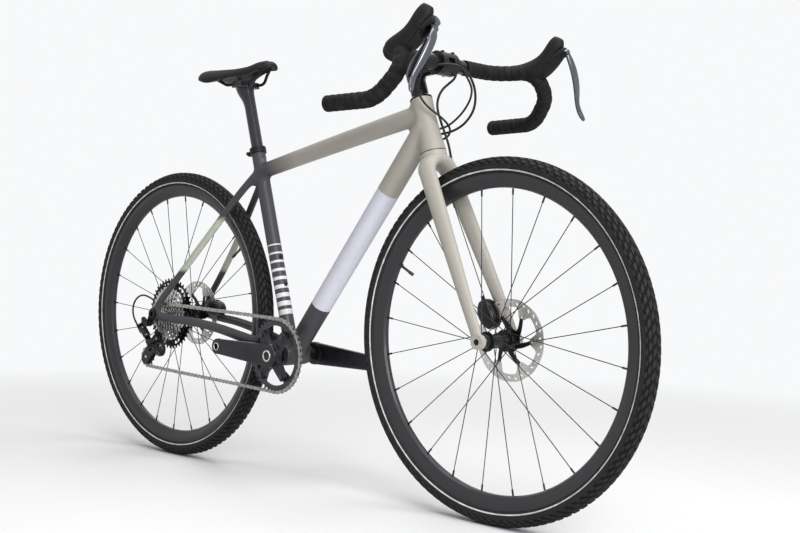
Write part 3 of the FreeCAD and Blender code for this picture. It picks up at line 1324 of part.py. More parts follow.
LINK_FLAT = Vector(math.cos(LINK_SLOPE), 0, math.sin(LINK_SLOPE))
LINK_BACK = Vector(math.sin(LINK_SLOPE), 0, -math.cos(LINK_SLOPE))
LINK_INWARD = ACROSS * math.cos(LINK_SLANT) + LINK_BACK * math.sin(LINK_SLANT)
LINK_PIN_AXIS = LINK_FLAT.cross(LINK_INWARD)
LINK_ALONG = LINK_FLAT * math.cos(LINK_REST_ANGLE) + LINK_INWARD * math.sin(LINK_REST_ANGLE)
LINK_NORMAL = LINK_PIN_AXIS.cross(LINK_ALONG)
CAGE_AXIS_POINT = REAR + Vector(CAGE_PIVOT[0], 0, CAGE_PIVOT[1])
CAGE_HALF_GAP = 4.6
CAGE_PLATE = 1.8
BARREL_INNER_Y = COG_Y - CAGE_HALF_GAP - CAGE_PLATE - FREE
BARREL_LENGTH = 17.0
LOWER_PIN = CAGE_AXIS_POINT + Vector(-15.0, BARREL_INNER_Y - 22.6, 13.0)
UPPER_PIN = LOWER_PIN - LINK_ALONG * LINK_LENGTH
LINK_OFFSET = LINK_INWARD * LINK_SEPARATION


def link(offset):
    """Parallelogram link with an eye at each end."""
    half = LINK_WIDTH / 2
    top = UPPER_PIN + offset
    bottom = LOWER_PIN + offset
    eyes = [rod(p - LINK_PIN_AXIS * half, p + LINK_PIN_AXIS * half, LINK_EYE_RADIUS) for p in (top, bottom)]
    axes = (LINK_ALONG, LINK_PIN_AXIS, LINK_NORMAL)
    bar = slab(top, axes, (0, -half, -2.4), (LINK_LENGTH, half - LINK_BAR_RELIEF, 2.4))
    bores = [rod(p - LINK_PIN_AXIS * 20, p + LINK_PIN_AXIS * 20, LINK_PIN_RADIUS + RUNNING) for p in (top, bottom)]
    return largest(eyes[0].fuse([eyes[1], bar]).cut(bores))


def link_space(pins):
    """Room that both links sweep when they swing about a pair of pins."""
    half = LINK_WIDTH / 2 + FREE - 0.02
    shapes = []
    toward = 1 if (pins[0] - UPPER_PIN).Length < 1 else -1
    for pin in pins:
        shapes.append(rod(pin - LINK_PIN_AXIS * half, pin + LINK_PIN_AXIS * half, LINK_EYE_RADIUS + 0.4))
        for degrees in LINK_SWEEP:
            along = LINK_ALONG * math.cos(math.radians(degrees)) + LINK_NORMAL * math.sin(math.radians(degrees))
            normal = LINK_PIN_AXIS.cross(along)
            shapes.append(slab(pin, (along * toward, LINK_PIN_AXIS, normal), (0, -half, -2.9), (LINK_LENGTH, half, 2.9)))
    return shapes


def clevis_ears(pins, away):
    """Two ears with the pins between them; away is the direction that the links leave free."""
    half = LINK_WIDTH / 2 + FREE
    spread = unit(pins[1] - pins[0])
    outward = LINK_PIN_AXIS.cross(spread)
    if outward.dot(away) < 0:
        outward = outward * -1.0
    axes = (spread, outward, LINK_PIN_AXIS)
    length = (pins[1] - pins[0]).Length
    shapes = []
    for side in (-1, 1):
        low, high = sorted((side * half, side * (half + EAR_THICKNESS)))
        shapes.append(slab(pins[0], axes, (-LINK_EYE_RADIUS, 0, low), (length + LINK_EYE_RADIUS, EAR_REACH, high)))
        for pin in pins:
            face = pin + LINK_PIN_AXIS * side * half
            shapes.append(rod(face, face + LINK_PIN_AXIS * side * EAR_THICKNESS, LINK_EYE_RADIUS))
    for pin in pins:
        reach = LINK_PIN_AXIS * (half + EAR_THICKNESS)
        shapes.append(rod(pin - reach, pin + reach, LINK_PIN_RADIUS))
    back = slab(pins[0], axes, (-LINK_EYE_RADIUS, EAR_REACH - 4, -half - EAR_THICKNESS),
                (length + LINK_EYE_RADIUS, EAR_REACH, half + EAR_THICKNESS))
    centre = (pins[0] + pins[1]) * 0.5 + outward * (EAR_REACH - 1)
    return shapes, back, centre


def derailleur_knuckle():
    bolt = REAR + Vector(HANGER_BOLT[0], 0, HANGER_BOLT[1])
    outer = REAR_HUB_WIDTH / 2 + DROPOUT_THICKNESS + HANGER_THICKNESS
    barrel = rod(bolt - ACROSS * outer, bolt - ACROSS * (outer + 11), 9.0)
    shank = rod(bolt - ACROSS * (outer - HANGER_THICKNESS), bolt - ACROSS * outer, 4.0)
    pins = [UPPER_PIN, UPPER_PIN + LINK_OFFSET]
    ears, back, centre = clevis_ears(pins, LINK_ALONG * -1.0)
    start = bolt - ACROSS * (outer + 5.5)
    arm = limb([(start, 5.0, 7.0), (start + Vector(-14, 0, 7), 5.0, 7.0), (centre * 0.55 + start * 0.45 + Vector(0, 0, 9), 6.0, 6.5),
                (centre, 6.0, 6.0)], ACROSS, 2.6)
    body = barrel.fuse([arm, back]).cut(link_space(pins))
    return largest(largest(body).fuse([shank] + ears))


def derailleur_cage_knuckle():
    inner = CAGE_AXIS_POINT + ACROSS * BARREL_INNER_Y
    barrel = rod(inner, inner - ACROSS * BARREL_LENGTH, 10.5)
    pins = [LOWER_PIN, LOWER_PIN + LINK_OFFSET]
    ears, back, centre = clevis_ears(pins, LINK_ALONG)
    core = inner - ACROSS * BARREL_LENGTH * 0.6
    bridge = limb([(core, 7.0, 8.0), (centre, 7.0, 6.0)], ACROSS, 2.6)
    bore = rod(inner + ACROSS, inner - ACROSS * (BARREL_LENGTH - 3), 5.0 + RUNNING)
    body = barrel.fuse([back, bridge]).cut(link_space(pins))
    return largest(largest(body).fuse(ears).cut(bore))


def cage_plate(y, guide_radius):
    low = ACROSS * y
    thick = ACROSS * CAGE_PLATE
    along = unit(TENSION - GUIDE)
    wide = Vector(-along.z, 0, along.x)
    outline = prism([GUIDE + low - wide * guide_radius, TENSION + low - wide * 14, TENSION + low + wide * 14,
                     GUIDE + low + wide * guide_radius], thick)
    ends = [rod(GUIDE + low, GUIDE + low + thick, guide_radius), rod(TENSION + low, TENSION + low + thick, 14.0)]
    middle = (GUIDE + TENSION) * 0.5 + low
    window = rod(middle - ACROSS * 3, middle + ACROSS * 6, 8.0)
    return outline.fuse(ends).cut(window)


def derailleur_cage():
    outer_y = COG_Y - CAGE_HALF_GAP - CAGE_PLATE
    inner_y = COG_Y + CAGE_HALF_GAP
    outer = cage_plate(outer_y, 13.0)
    inner = cage_plate(inner_y, 11.0)
    pivot = CAGE_AXIS_POINT
    lug = rod(pivot + ACROSS * outer_y, pivot + ACROSS * (outer_y + CAGE_PLATE), 9.0)
    toward = unit(GUIDE - pivot)
    wide = Vector(-toward.z, 0, toward.x)
    arm = prism([pivot - wide * 9 + ACROSS * outer_y, GUIDE - wide * 12 + ACROSS * outer_y,
                 GUIDE + wide * 12 + ACROSS * outer_y, pivot + wide * 9 + ACROSS * outer_y], ACROSS * CAGE_PLATE)
    stub = rod(pivot + ACROSS * (outer_y + CAGE_PLATE), pivot + ACROSS * (BARREL_INNER_Y - BARREL_LENGTH + 4), 5.0)
    pins = [rod(p + ACROSS * (outer_y - 1.2), p + ACROSS * (inner_y + CAGE_PLATE + 1.2), 2.5) for p in (GUIDE, TENSION)]
    return largest(outer.fuse([inner, lug, arm, stub] + pins))


def pulley(centre, phase):
    wheel = sprocket(centre, COG_Y, PULLEY_TEETH, phase, PULLEY_THICKNESS, 2.5 + RUNNING, 0.8)
    half = CAGE_HALF_GAP - FREE
    hub_ring = turned(centre, ACROSS, ((2.5 + RUNNING, COG_Y - half), (6.0, COG_Y - half), (6.0, COG_Y + half),
                                       (2.5 + RUNNING, COG_Y + half)))
    return largest(wheel.fuse(hub_ring))


# Seat

def seatpost():
    clamp = saddle_clamp_centre()
    axes = (Vector(1, 0, 0), ACROSS, Vector(0, 0, 1))
    shaft = rod(seat(SEAT_TUBE_LENGTH - POST_INSERT), seat(POST_HEAD_HEIGHT - 30), POST_RADIUS)
    neck = limb([(seat(POST_HEAD_HEIGHT - 64), POST_RADIUS - 1.2, POST_RADIUS - 1.2),
                 (seat(POST_HEAD_HEIGHT - 44, -1), POST_RADIUS + 0.3, POST_RADIUS + 0.9),
                 (seat(POST_HEAD_HEIGHT - 26, -4), 16.0, 18.0),
                 (seat(POST_HEAD_HEIGHT - 12, -7), 18.5, 21.5),
                 (seat(POST_HEAD_HEIGHT + 2, -8), 19.5, 23.0)])
    half = RAIL_SPACING / 2 + 5
    rails = saddle_rail_grooves()
    cradle = slab(clamp, axes, (-17, -half, -8), (17, half, -0.3))
    plate = slab(clamp, axes, (-15, -half, 0.3), (15, half, 6.5))
    above = slab(clamp, axes, (-40, -40, -0.3), (40, 40, 30))
    bolt = rod(clamp + Vector(0, 0, -12), clamp + Vector(0, 0, 9), 3.0)
    body = largest(shaft.fuse([neck, cradle]).cut([above, bolt] + rails))
    return Part.makeCompound([body, largest(plate.cut([bolt] + rails)), bolt])


def saddle_clamp_centre():
    return seat(POST_HEAD_HEIGHT) + Vector(-POST_SETBACK, 0, 0)


def saddle_rail_grooves():
    clamp = saddle_clamp_centre()
    grooves = []
    for side in (-1, 1):
        y = ACROSS * side * RAIL_SPACING / 2
        grooves.append(rod(clamp + y - Vector(40, 0, 0), clamp + y + Vector(40, 0, 0), RAIL_RADIUS))
    return grooves


def saddle_rails():
    clamp = saddle_clamp_centre()
    half = RAIL_SPACING / 2
    rails = []
    for side in (-1, 1):
        points = [
            Vector(SADDLE_NOSE_X - 22, side * 11.0, SADDLE_TOP_Z - 10),
            Vector(SADDLE_NOSE_X - 40, side * 13.0, SADDLE_TOP_Z - 31),
            clamp + Vector(40, side * half, 0),
            clamp + Vector(-42, side * half, 0),
            Vector(SADDLE_NOSE_X - SADDLE_LENGTH + 34, side * (half + 10), SADDLE_TOP_Z - 25),
        ]
        rails.append(tube(rounded_path(points, (26.0, 34.0, 30.0)), RAIL_RADIUS))
    return Part.makeCompound(rails)


def saddle_section(x, half_width, top, depth, dip):
    """Cross section of the saddle: crowned top with a middle channel, drawn-in skirts and a flat underside."""
    rows = ((0.0, -dip), (0.16, -dip * 0.35), (0.30, 0.0), (0.62, -depth * 0.10), (0.88, -depth * 0.36), (1.0, -depth * 0.72),
            (0.93, -depth), (0.62, -depth * 0.84), (0.30, -depth * 0.66))
    right = [Vector(x, -share * half_width, top + fall) for share, fall in rows]
    left = [Vector(x, -p.y, p.z) for p in reversed(right[1:])]
    floor = Vector(x, 0, top - depth * 0.66)
    curve = Part.BSplineCurve()
    curve.interpolate(right + [floor] + left, PeriodicFlag=True)
    return Part.Wire([curve.toShape()])


def saddle():
    rear = SADDLE_NOSE_X - SADDLE_LENGTH
    half = SADDLE_WIDTH / 2
    rows = (
        (0.0, 0.50, -13.0, 14.0, 0.5), (0.04, 0.74, -10.0, 24.0, 1.5), (0.13, 0.95, -8.5, 32.0, 3.0),
        (0.26, 1.0, -10.0, 36.0, 4.0), (0.36, 0.87, -10.5, 30.0, 4.5), (0.46, 0.66, -10.5, 24.5, 4.5),
        (0.65, 0.38, -7.0, 21.5, 4.0), (0.85, 0.29, 0.5, 21.0, 3.0), (0.97, 0.25, -3.0, 17.0, 1.5),
        (1.0, 0.17, -8.0, 10.0, 0.5))
    rings = [saddle_section(rear + SADDLE_LENGTH * share, half * wide, SADDLE_TOP_Z + lift, depth, dip)
             for share, wide, lift, depth, dip in rows]
    return largest(Part.makeLoft(rings, True).cut(saddle_rails()))


# Hoses and housings

def rear_brake_hose():
    return cord([
        Vector(359, -39, 877), Vector(385, -18, 884), Vector(403, 12, 872), Vector(408, 34, 838), Vector(398, 46, 800),
        Vector(372, 48, 772), Vector(344, 42, 757), Vector(318, 32, 752), Vector(294, 19, 747)], HOSE_RADIUS)


def shift_housing():
    return cord([
        Vector(344, -45, 878), Vector(326, -44, 850), Vector(322, -38, 824), Vector(334, -24, 800), Vector(352, -4, 782),
        Vector(358, 18, 764), Vector(342, 36, 748), Vector(316, 32, 738), Vector(294, 19, 730)], HOUSING_RADIUS)


def left_control_housing():
    return cord([
        Vector(360, 51, 878), Vector(378, 57, 852), Vector(380, 56, 826), Vector(370, 48, 800), Vector(354, 40, 780),
        Vector(334, 34, 766), Vector(312, 30, 762), Vector(294, 19, 757)], HOUSING_RADIUS)


def front_brake_hose():
    return cord([
        Vector(361, 30, 877), Vector(362, 28, 862), Vector(350, 20, 850), Vector(338, 13, 838), Vector(331, 9, 820),
        Vector(331, 8, 800), Vector(340, 11, 772), Vector(350, 16, 744), Vector(355, 22, 720),
        Vector(354, 30, 694)], HOSE_RADIUS)


def derailleur_housing():
    base = REAR
    return cord([
        base + Vector(4, -80, 34), base + Vector(-18, -83, 44), base + Vector(-46, -86, 44),
        base + Vector(-68, -88, 26), base + Vector(-73, -88, 2), base + Vector(-66, -86, -20),
        base + Vector(-55, -82, -34)], HOUSING_RADIUS)


# Build every piece, in the order in which they are cut to fit one another

def build():
    parts = {}
    parts["head_tube"] = head_tube()
    parts["seat_tube"] = seat_tube()
    parts["down_tube"] = down_tube()
    parts["top_tube"] = largest(top_tube().cut(parts["down_tube"]))
    frame_front = Part.makeCompound([parts["top_tube"], parts["down_tube"], parts["head_tube"]])
    right_chain_stay = chain_stay(-1, parts["down_tube"])
    right_seat_stay = seat_stay(-1, parts["top_tube"])
    parts["chain_stays"] = Part.makeCompound([right_chain_stay, mirrored(right_chain_stay)])
    parts["seat_stays"] = Part.makeCompound([right_seat_stay, mirrored(right_seat_stay)])
    parts["derailleur_hanger"] = derailleur_hanger()
    parts["frame_bearings"] = frame_bearings()
    parts["seat_collar"] = seat_collar()
    parts["rear_thru_axle"] = thru_axle(REAR, REAR_HUB_WIDTH, DROPOUT_THICKNESS, 1)

    parts["fork"] = fork()
    parts["headset_stack"] = headset_stack()
    parts["stem"] = stem()
    parts["stem_faceplate"] = stem_faceplate()
    parts["handlebar"] = handlebar()
    bodies = [lever_body(side) for side in (-1, 1)]
    hoods = []
    tapes = []
    for side, body in zip((-1, 1), bodies):
        bar = tube(bar_path(side, TAPE_START), BAR_RADIUS)
        wrap = tube(bar_path(side, TAPE_START), BAR_RADIUS + TAPE_THICKNESS)
        hood = hood_limb(side)
        pivot, hinge, down, ahead, root = lever_root(side)
        half = LEVER_ROOT_WIDTH / 2 + FREE + 4.5
        mouth = slab(pivot, (hinge, down, ahead), (-half, -8, -9), (half, 60, 60))
        hoods.append(largest(hood.cut(body).cut(bar).cut(mouth)))
        tapes.append(largest(wrap.cut(parts["handlebar"]).cut(hood).cut(body)))
    parts["lever_bodies"] = Part.makeCompound(bodies)
    parts["lever_hoods"] = Part.makeCompound(hoods)
    parts["bar_tape"] = Part.makeCompound(tapes)
    parts["right_lever_yoke"] = right_lever_yoke()
    parts["right_brake_lever"] = right_brake_lever()
    parts["right_shift_paddle"] = right_shift_paddle()
    parts["left_brake_lever"] = left_brake_lever()
    parts["front_thru_axle"] = thru_axle(FRONT, FRONT_HUB_WIDTH, FORK_END_THICKNESS, 1)

    parts["front_brake_caliper"] = caliper(FRONT, FRONT_CALIPER, BLADE_DOWN, FRONT_ROTOR_Y, parts["fork"], CALIPER_HALF,
                                           PAD_HALF)
    parts["rear_brake_caliper"] = caliper(REAR, REAR_CALIPER, STAY_ALONG, REAR_ROTOR_Y, parts["chain_stays"], CALIPER_HALF,
                                          PAD_HALF)
    for side, name in ((-1, "inner"), (1, "outer")):
        parts["front_pad_" + name] = pad(FRONT_CALIPER, BLADE_DOWN, FRONT_ROTOR_Y, side, PAD_HALF)
        parts["rear_pad_" + name] = pad(REAR_CALIPER, STAY_ALONG, REAR_ROTOR_Y, side, PAD_HALF)

    front_end = FRONT_HUB_WIDTH / 2 - FREE
    rear_end = REAR_HUB_WIDTH / 2 - FREE
    hub_right = SMALLEST_COG_Y + COG_SPACING * (len(COGS) - 1) + COG_THICKNESS / 2 + 1.2 + FREE
    front_right = ((10.0, -front_end), (13.0, 4 - front_end), (HUB_NECK_RADIUS, 12 - front_end))
    parts["front_hub"] = hub(FRONT, front_right, front_end, FRONT_FLANGES, 12.0, FRONT_ROTOR_Y)
    parts["front_spokes"] = spokes(FRONT, FRONT_NIPPLE_ANGLE, -1, FRONT_FLANGES)
    parts["front_rim"] = rim(FRONT, FRONT_VALVE_ANGLE)
    parts["front_tyre"] = tyre(FRONT)
    parts["front_rotor"] = rotor(FRONT, FRONT_ROTOR_Y)
    parts["rear_hub"] = hub(REAR, ((HUB_NECK_RADIUS, hub_right),), rear_end, REAR_FLANGES, 14.0, REAR_ROTOR_Y)
    parts["rear_spokes"] = spokes(REAR, REAR_NIPPLE_ANGLE, 1, REAR_FLANGES)
    parts["rear_rim"] = rim(REAR, REAR_VALVE_ANGLE)
    parts["rear_tyre"] = tyre(REAR)
    parts["rear_rotor"] = rotor(REAR, REAR_ROTOR_Y)

    parts["freehub_body"] = freehub_body()
    parts["cassette"] = cassette()
    parts["right_crank_arm"] = right_crank_arm()
    parts["left_crank_arm"] = left_crank_arm()
    parts["chainring"] = chainring()
    parts["chain"] = chain()

    parts["derailleur_knuckle"] = derailleur_knuckle()
    parts["derailleur_outer_link"] = link(Vector(0, 0, 0))
    parts["derailleur_inner_link"] = link(LINK_OFFSET)
    parts["derailleur_cage_knuckle"] = derailleur_cage_knuckle()
    parts["derailleur_cage"] = derailleur_cage()
    parts["guide_pulley"] = pulley(GUIDE, WHEEL_PHASES[2])
    parts["tension_pulley"] = pulley(TENSION, WHEEL_PHASES[3])

    parts["seatpost"] = seatpost()
    parts["saddle_rails"] = saddle_rails()
    parts["saddle"] = saddle().cut(Part.makeCompound(parts["saddle_rails"].Solids))

    bars = [parts["handlebar"], parts["bar_tape"], parts["stem"], parts["stem_faceplate"]]
    parts["rear_brake_hose"] = largest(rear_brake_hose().cut(bars).cut(frame_front))
    parts["shift_housing"] = largest(shift_housing().cut(bars).cut(frame_front))
    parts["left_control_housing"] = largest(left_control_housing().cut(bars).cut(frame_front))
    parts["front_brake_hose"] = largest(front_brake_hose().cut(bars).cut(parts["fork"]))
    parts["derailleur_housing"] = largest(derailleur_housing().cut(
        [parts["chain_stays"], parts["seat_stays"], parts["derailleur_knuckle"]]))
    return parts


def main():
    os.makedirs("parts", exist_ok=True)
    for name, shape in build().items():
        shape.exportStep("parts/" + name + ".step")
        box = shape.BoundBox
        print(name, len(shape.Solids), round(shape.Volume), shape.isValid(),
              [round(v) for v in (box.XMin, box.XMax, box.YMin, box.YMax, box.ZMin, box.ZMax)])


main()
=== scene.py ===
import json
import math

import bmesh
import bpy
import numpy as np
from mathutils import Matrix, Quaternion, Vector
from mathutils.bvhtree import BVHTree


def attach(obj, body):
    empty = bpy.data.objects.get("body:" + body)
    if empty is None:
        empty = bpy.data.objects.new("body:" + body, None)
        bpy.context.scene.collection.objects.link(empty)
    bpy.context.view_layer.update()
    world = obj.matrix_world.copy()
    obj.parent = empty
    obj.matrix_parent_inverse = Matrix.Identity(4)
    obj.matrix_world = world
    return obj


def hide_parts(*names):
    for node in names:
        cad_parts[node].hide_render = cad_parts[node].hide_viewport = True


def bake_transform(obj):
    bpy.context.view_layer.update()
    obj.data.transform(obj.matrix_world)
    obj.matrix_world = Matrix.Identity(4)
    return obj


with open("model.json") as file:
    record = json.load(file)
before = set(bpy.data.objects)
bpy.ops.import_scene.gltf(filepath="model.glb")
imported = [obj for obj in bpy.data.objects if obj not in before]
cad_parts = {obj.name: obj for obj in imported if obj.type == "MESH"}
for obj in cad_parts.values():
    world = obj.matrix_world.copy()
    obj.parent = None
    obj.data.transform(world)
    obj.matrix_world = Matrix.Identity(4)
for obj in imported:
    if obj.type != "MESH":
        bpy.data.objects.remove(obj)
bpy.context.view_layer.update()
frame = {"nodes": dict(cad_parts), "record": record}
nodes = frame["nodes"]

# Metres, in the part's own frame: +X forward, +Y the rider's left, +Z up, ground at 0

REAR = Vector((-0.505, 0.0, 0.349))
FRONT = Vector((0.505, 0.0, 0.349))
BRACKET = Vector((-0.07668, 0.0, 0.279))
SEAT_ANGLE = math.radians(73.4)
SEAT_UP = Vector((-math.cos(SEAT_ANGLE), 0.0, math.sin(SEAT_ANGLE)))
DOWN_TUBE_TOP = Vector((0.3129, 0.0, 0.7656))
DOWN_TUBE_AXIS = (BRACKET - DOWN_TUBE_TOP).normalized()
BAR_CENTRE = Vector((0.35192, 0.0, 0.88641))
ACROSS = Vector((0.0, 1.0, 0.0))
FULL_TURN = 2 * math.pi


# Materials

NOISE_LOW = 0.3
NOISE_HIGH = 0.7
MIX_A = 6
MIX_B = 7
MIX_RESULT = 2
DULL_SPECULAR = 0.2


class Finish:
    """A procedural material on one principled shader, patterned in the part's own coordinates."""

    def __init__(self, name, colour, roughness, metallic=0.0):
        self.material = bpy.data.materials.new(name)
        self.material.use_nodes = True
        self.tree = self.material.node_tree
        self.shader = self.tree.nodes["Principled BSDF"]
        self.put("Base Color", (*colour, 1.0))
        self.put("Roughness", roughness)
        self.put("Metallic", metallic)
        self.place = self.add("ShaderNodeTexCoord").outputs["Object"]
        self.height = None

    def put(self, socket, value):
        self.feed(self.shader.inputs[socket], value)

    def feed(self, socket, value):
        if isinstance(value, bpy.types.NodeSocket):
            self.tree.links.new(value, socket)
        else:
            socket.default_value = value

    def add(self, kind, inputs=None, **settings):
        node = self.tree.nodes.new(kind)
        for key, value in settings.items():
            setattr(node, key, value)
        for key, value in (inputs or {}).items():
            self.feed(node.inputs[key], value)
        return node

    def maths(self, operation, a, b=0.0):
        return self.add("ShaderNodeMath", {0: a, 1: b}, operation=operation).outputs[0]

    def vector(self, operation, a, b=(0.0, 0.0, 0.0)):
        return self.add("ShaderNodeVectorMath", {0: a, 1: b}, operation=operation).outputs

    def along(self, axis, offset=0.0):
        """Distance along an axis."""
        return self.maths("ADD", self.vector("DOT_PRODUCT", self.place, axis)["Value"], offset)

    def radius(self, centre):
        """Distance from a wheel's axle."""
        arm = self.vector("SUBTRACT", self.place, centre)[0]
        flat = self.vector("MULTIPLY", arm, (1.0, 0.0, 1.0))[0]
        return self.vector("LENGTH", flat)["Value"]

    def noise(self, scale, detail=2.0, place=None):
        inputs = {"Vector": place or self.place, "Scale": scale, "Detail": detail}
        return self.add("ShaderNodeTexNoise", inputs).outputs["Fac"]

    def cells(self, scale):
        return self.add("ShaderNodeTexVoronoi", {"Vector": self.place, "Scale": scale}).outputs["Distance"]

    def turning_lines(self, centre, scale):
        """Fine rings round an axle."""
        radius = self.maths("MULTIPLY", self.radius(centre), scale)
        return self.noise(1.0, 2.0, self.add("ShaderNodeCombineXYZ", {0: radius}).outputs[0])

    def span(self, value, low, high, to_low=0.0, to_high=1.0):
        inputs = {"Value": value, "From Min": low, "From Max": high, "To Min": to_low, "To Max": to_high}
        return self.add("ShaderNodeMapRange", inputs).outputs["Result"]

    def mixed(self, share, a, b):
        def colour(value):
            return value if isinstance(value, bpy.types.NodeSocket) else (*value, 1.0)
        inputs = {"Factor": share, MIX_A: colour(a), MIX_B: colour(b)}
        return self.add("ShaderNodeMix", inputs, data_type="RGBA").outputs[MIX_RESULT]

    def scaled(self, colour, share):
        inputs = {"Factor": 1.0, MIX_A: colour, MIX_B: share}
        return self.add("ShaderNodeMix", inputs, data_type="RGBA", blend_type="MULTIPLY").outputs[MIX_RESULT]

    def shaded(self, share, colour, low, high):
        """A colour between a darker and a lighter share of itself."""
        return self.mixed(share, [c * low for c in colour], [c * high for c in colour])

    def colour(self, value):
        self.put("Base Color", value)

    def uneven(self, value, low, high):
        """Roughness that follows a noise between two values."""
        self.put("Roughness", self.span(value, NOISE_LOW, NOISE_HIGH, low, high))

    def sheen(self, specular):
        self.put("Specular IOR Level", specular)

    def coat(self, weight, roughness):
        self.put("Coat Weight", weight)
        self.put("Coat Roughness", roughness)

    def bump(self, height, distance, strength=1.0):
        node = self.add("ShaderNodeBump", {"Height": height, "Distance": distance, "Strength": strength})
        if self.height is not None:
            self.feed(node.inputs["Normal"], self.height)
        self.height = node.outputs["Normal"]
        self.put("Normal", self.height)


def satin_paint(name, painter):
    """Satin frame paint with fine orange peel, faint flake and uneven sheen. painter gives the colour."""
    finish = Finish(name, (0.3, 0.3, 0.3), 0.4)
    colour = painter(finish)
    cloud = finish.span(finish.noise(7.0, 3.0), NOISE_LOW, NOISE_HIGH, 0.95, 1.04)
    flake = finish.span(finish.cells(2600.0), 0.0, 0.8, 1.05, 0.94)
    finish.colour(finish.scaled(finish.scaled(colour, cloud), flake))
    finish.uneven(finish.noise(16.0, 3.0), 0.38, 0.5)
    finish.sheen(0.36)
    finish.coat(0.08, 0.28)
    finish.bump(finish.noise(380.0, 1.0), 0.00008, 0.25)
    return finish.material


TAUPE = (0.392, 0.372, 0.330)
GUNMETAL = (0.050, 0.049, 0.056)
LAVENDER = (0.70, 0.70, 0.79)
PALE_OLIVE = (0.52, 0.545, 0.45)
STRIPE_WHITE = (0.74, 0.72, 0.75)
TOP_TUBE_FADE = (-0.165, -0.065)
DOWN_BAND_START = (0.1646, 0.1654)
DOWN_BAND_END = (0.4766, 0.4774)
STAY_BAND_LOW = (0.452, 0.462)
STAY_BAND_HIGH = (0.575, 0.587)
BLACK_COGS = (-0.0312, -0.0308)
STRIPE_FIRST = 0.096
STRIPE_PITCH = 0.0195
STRIPE_COUNT = 9
STRIPE_WIDEST = 0.0115
STRIPE_TAPER = 0.0011
STRIPE_EDGE = 0.0003


def plain(colour):
    def painter(finish):
        return finish.shaded(finish.noise(3.0), colour, 0.97, 1.03)
    return painter


def banded(axis, offset, first, *bands):
    """Colours one after another along an axis; a band is its border and the colour beyond it."""
    def painter(finish):
        place = finish.along(axis, offset)
        colour = first
        for border, beyond in bands:
            colour = finish.mixed(finish.span(place, *border), colour, beyond)
        return colour
    return painter


def seat_tube_colours(finish):
    """Dark tube with wrapped bars that thin out upwards."""
    up = finish.along(SEAT_UP, -BRACKET.dot(SEAT_UP))
    colour = plain(GUNMETAL)(finish)
    for k in range(STRIPE_COUNT):
        middle = STRIPE_FIRST + STRIPE_PITCH * k
        half = (STRIPE_WIDEST - STRIPE_TAPER * k) / 2
        away = finish.maths("ABSOLUTE", finish.maths("SUBTRACT", up, middle))
        colour = finish.mixed(finish.span(away, half + STRIPE_EDGE, half), colour, STRIPE_WHITE)
    return colour


def anodised(name, colour, roughness=0.42, grain=2080.0, metallic=0.75):
    """Dark anodised or painted alloy with a fine blasted grain and rubbed patches."""
    finish = Finish(name, colour, roughness, metallic)
    patch = finish.span(finish.noise(24.0, 4.0), 0.35, 0.7, 0.88, 1.15)
    finish.colour(finish.scaled((*colour, 1.0), patch))
    finish.uneven(finish.noise(55.0, 3.0), roughness - 0.06, roughness + 0.1)
    finish.bump(finish.noise(grain, 2.0), 0.00006, 0.22)
    return finish.material


def gloss_black(name, colour, roughness):
    finish = Finish(name, colour, roughness)
    finish.colour(finish.shaded(finish.noise(30.0), colour, 0.8, 1.3))
    finish.uneven(finish.noise(40.0, 4.0), roughness - 0.05, roughness + 0.12)
    finish.sheen(DULL_SPECULAR)
    finish.coat(0.12, 0.12)
    finish.bump(finish.noise(300.0, 1.0), 0.00005, 0.15)
    return finish.material


def rubber(name, colour, roughness, dots, depth):
    """Moulded rubber with a fine dotted skin and dusty high spots."""
    finish = Finish(name, colour, roughness)
    dust = finish.noise(60.0, 4.0)
    finish.colour(finish.shaded(finish.span(dust, 0.35, 0.75), colour, 0.8, 1.55))
    finish.uneven(dust, roughness - 0.06, roughness + 0.08)
    finish.sheen(DULL_SPECULAR)
    finish.bump(finish.cells(dots), depth, 0.5)
    finish.bump(finish.noise(dots * 2.2, 2.0), depth * 0.4, 0.3)
    return finish.material


def carbon(name):
    """Clear-coated unidirectional carbon: dark streaks under gloss."""
    finish = Finish(name, (0.03, 0.03, 0.034), 0.3)
    streak = finish.noise(1.0, 4.0, finish.vector("MULTIPLY", finish.place, (420.0, 420.0, 26.0))[0])
    finish.colour(finish.mixed(streak, (0.008, 0.008, 0.010), (0.034, 0.033, 0.039)))
    finish.uneven(streak, 0.24, 0.36)
    finish.sheen(DULL_SPECULAR)
    finish.coat(0.25, 0.1)
    finish.bump(finish.noise(220.0, 2.0), 0.00005, 0.12)
    return finish.material


def bright_steel(name, colour, roughness):
    finish = Finish(name, colour, roughness, 1.0)
    finish.colour(finish.shaded(finish.noise(70.0, 4.0), colour, 0.72, 1.08))
    finish.uneven(finish.noise(120.0, 3.0), roughness - 0.06, roughness + 0.14)
    finish.bump(finish.noise(900.0, 3.0), 0.00005, 0.2)
    return finish.material


def rotor_steel(name, centre):
    """Turned steel brake track."""
    finish = Finish(name, (0.6, 0.6, 0.6), 0.3, 1.0)
    rings = finish.turning_lines(centre, 2600.0)
    finish.colour(finish.mixed(rings, (0.40, 0.385, 0.36), (0.68, 0.665, 0.64)))
    finish.uneven(rings, 0.24, 0.42)
    finish.bump(rings, 0.00004, 0.4)
    return finish.material


def cassette_steel(name):
    """Nickel-plated cogs, with the two largest in black."""
    finish = Finish(name, (0.55, 0.55, 0.53), 0.32, 1.0)
    black = finish.span(finish.along(ACROSS), *BLACK_COGS)
    tone = finish.noise(90.0, 4.0)
    plated = finish.mixed(tone, (0.36, 0.36, 0.345), (0.66, 0.66, 0.64))
    finish.colour(finish.mixed(black, plated, (0.018, 0.018, 0.02)))
    finish.uneven(tone, 0.26, 0.44)
    finish.bump(finish.noise(700.0, 3.0), 0.00005, 0.2)
    return finish.material


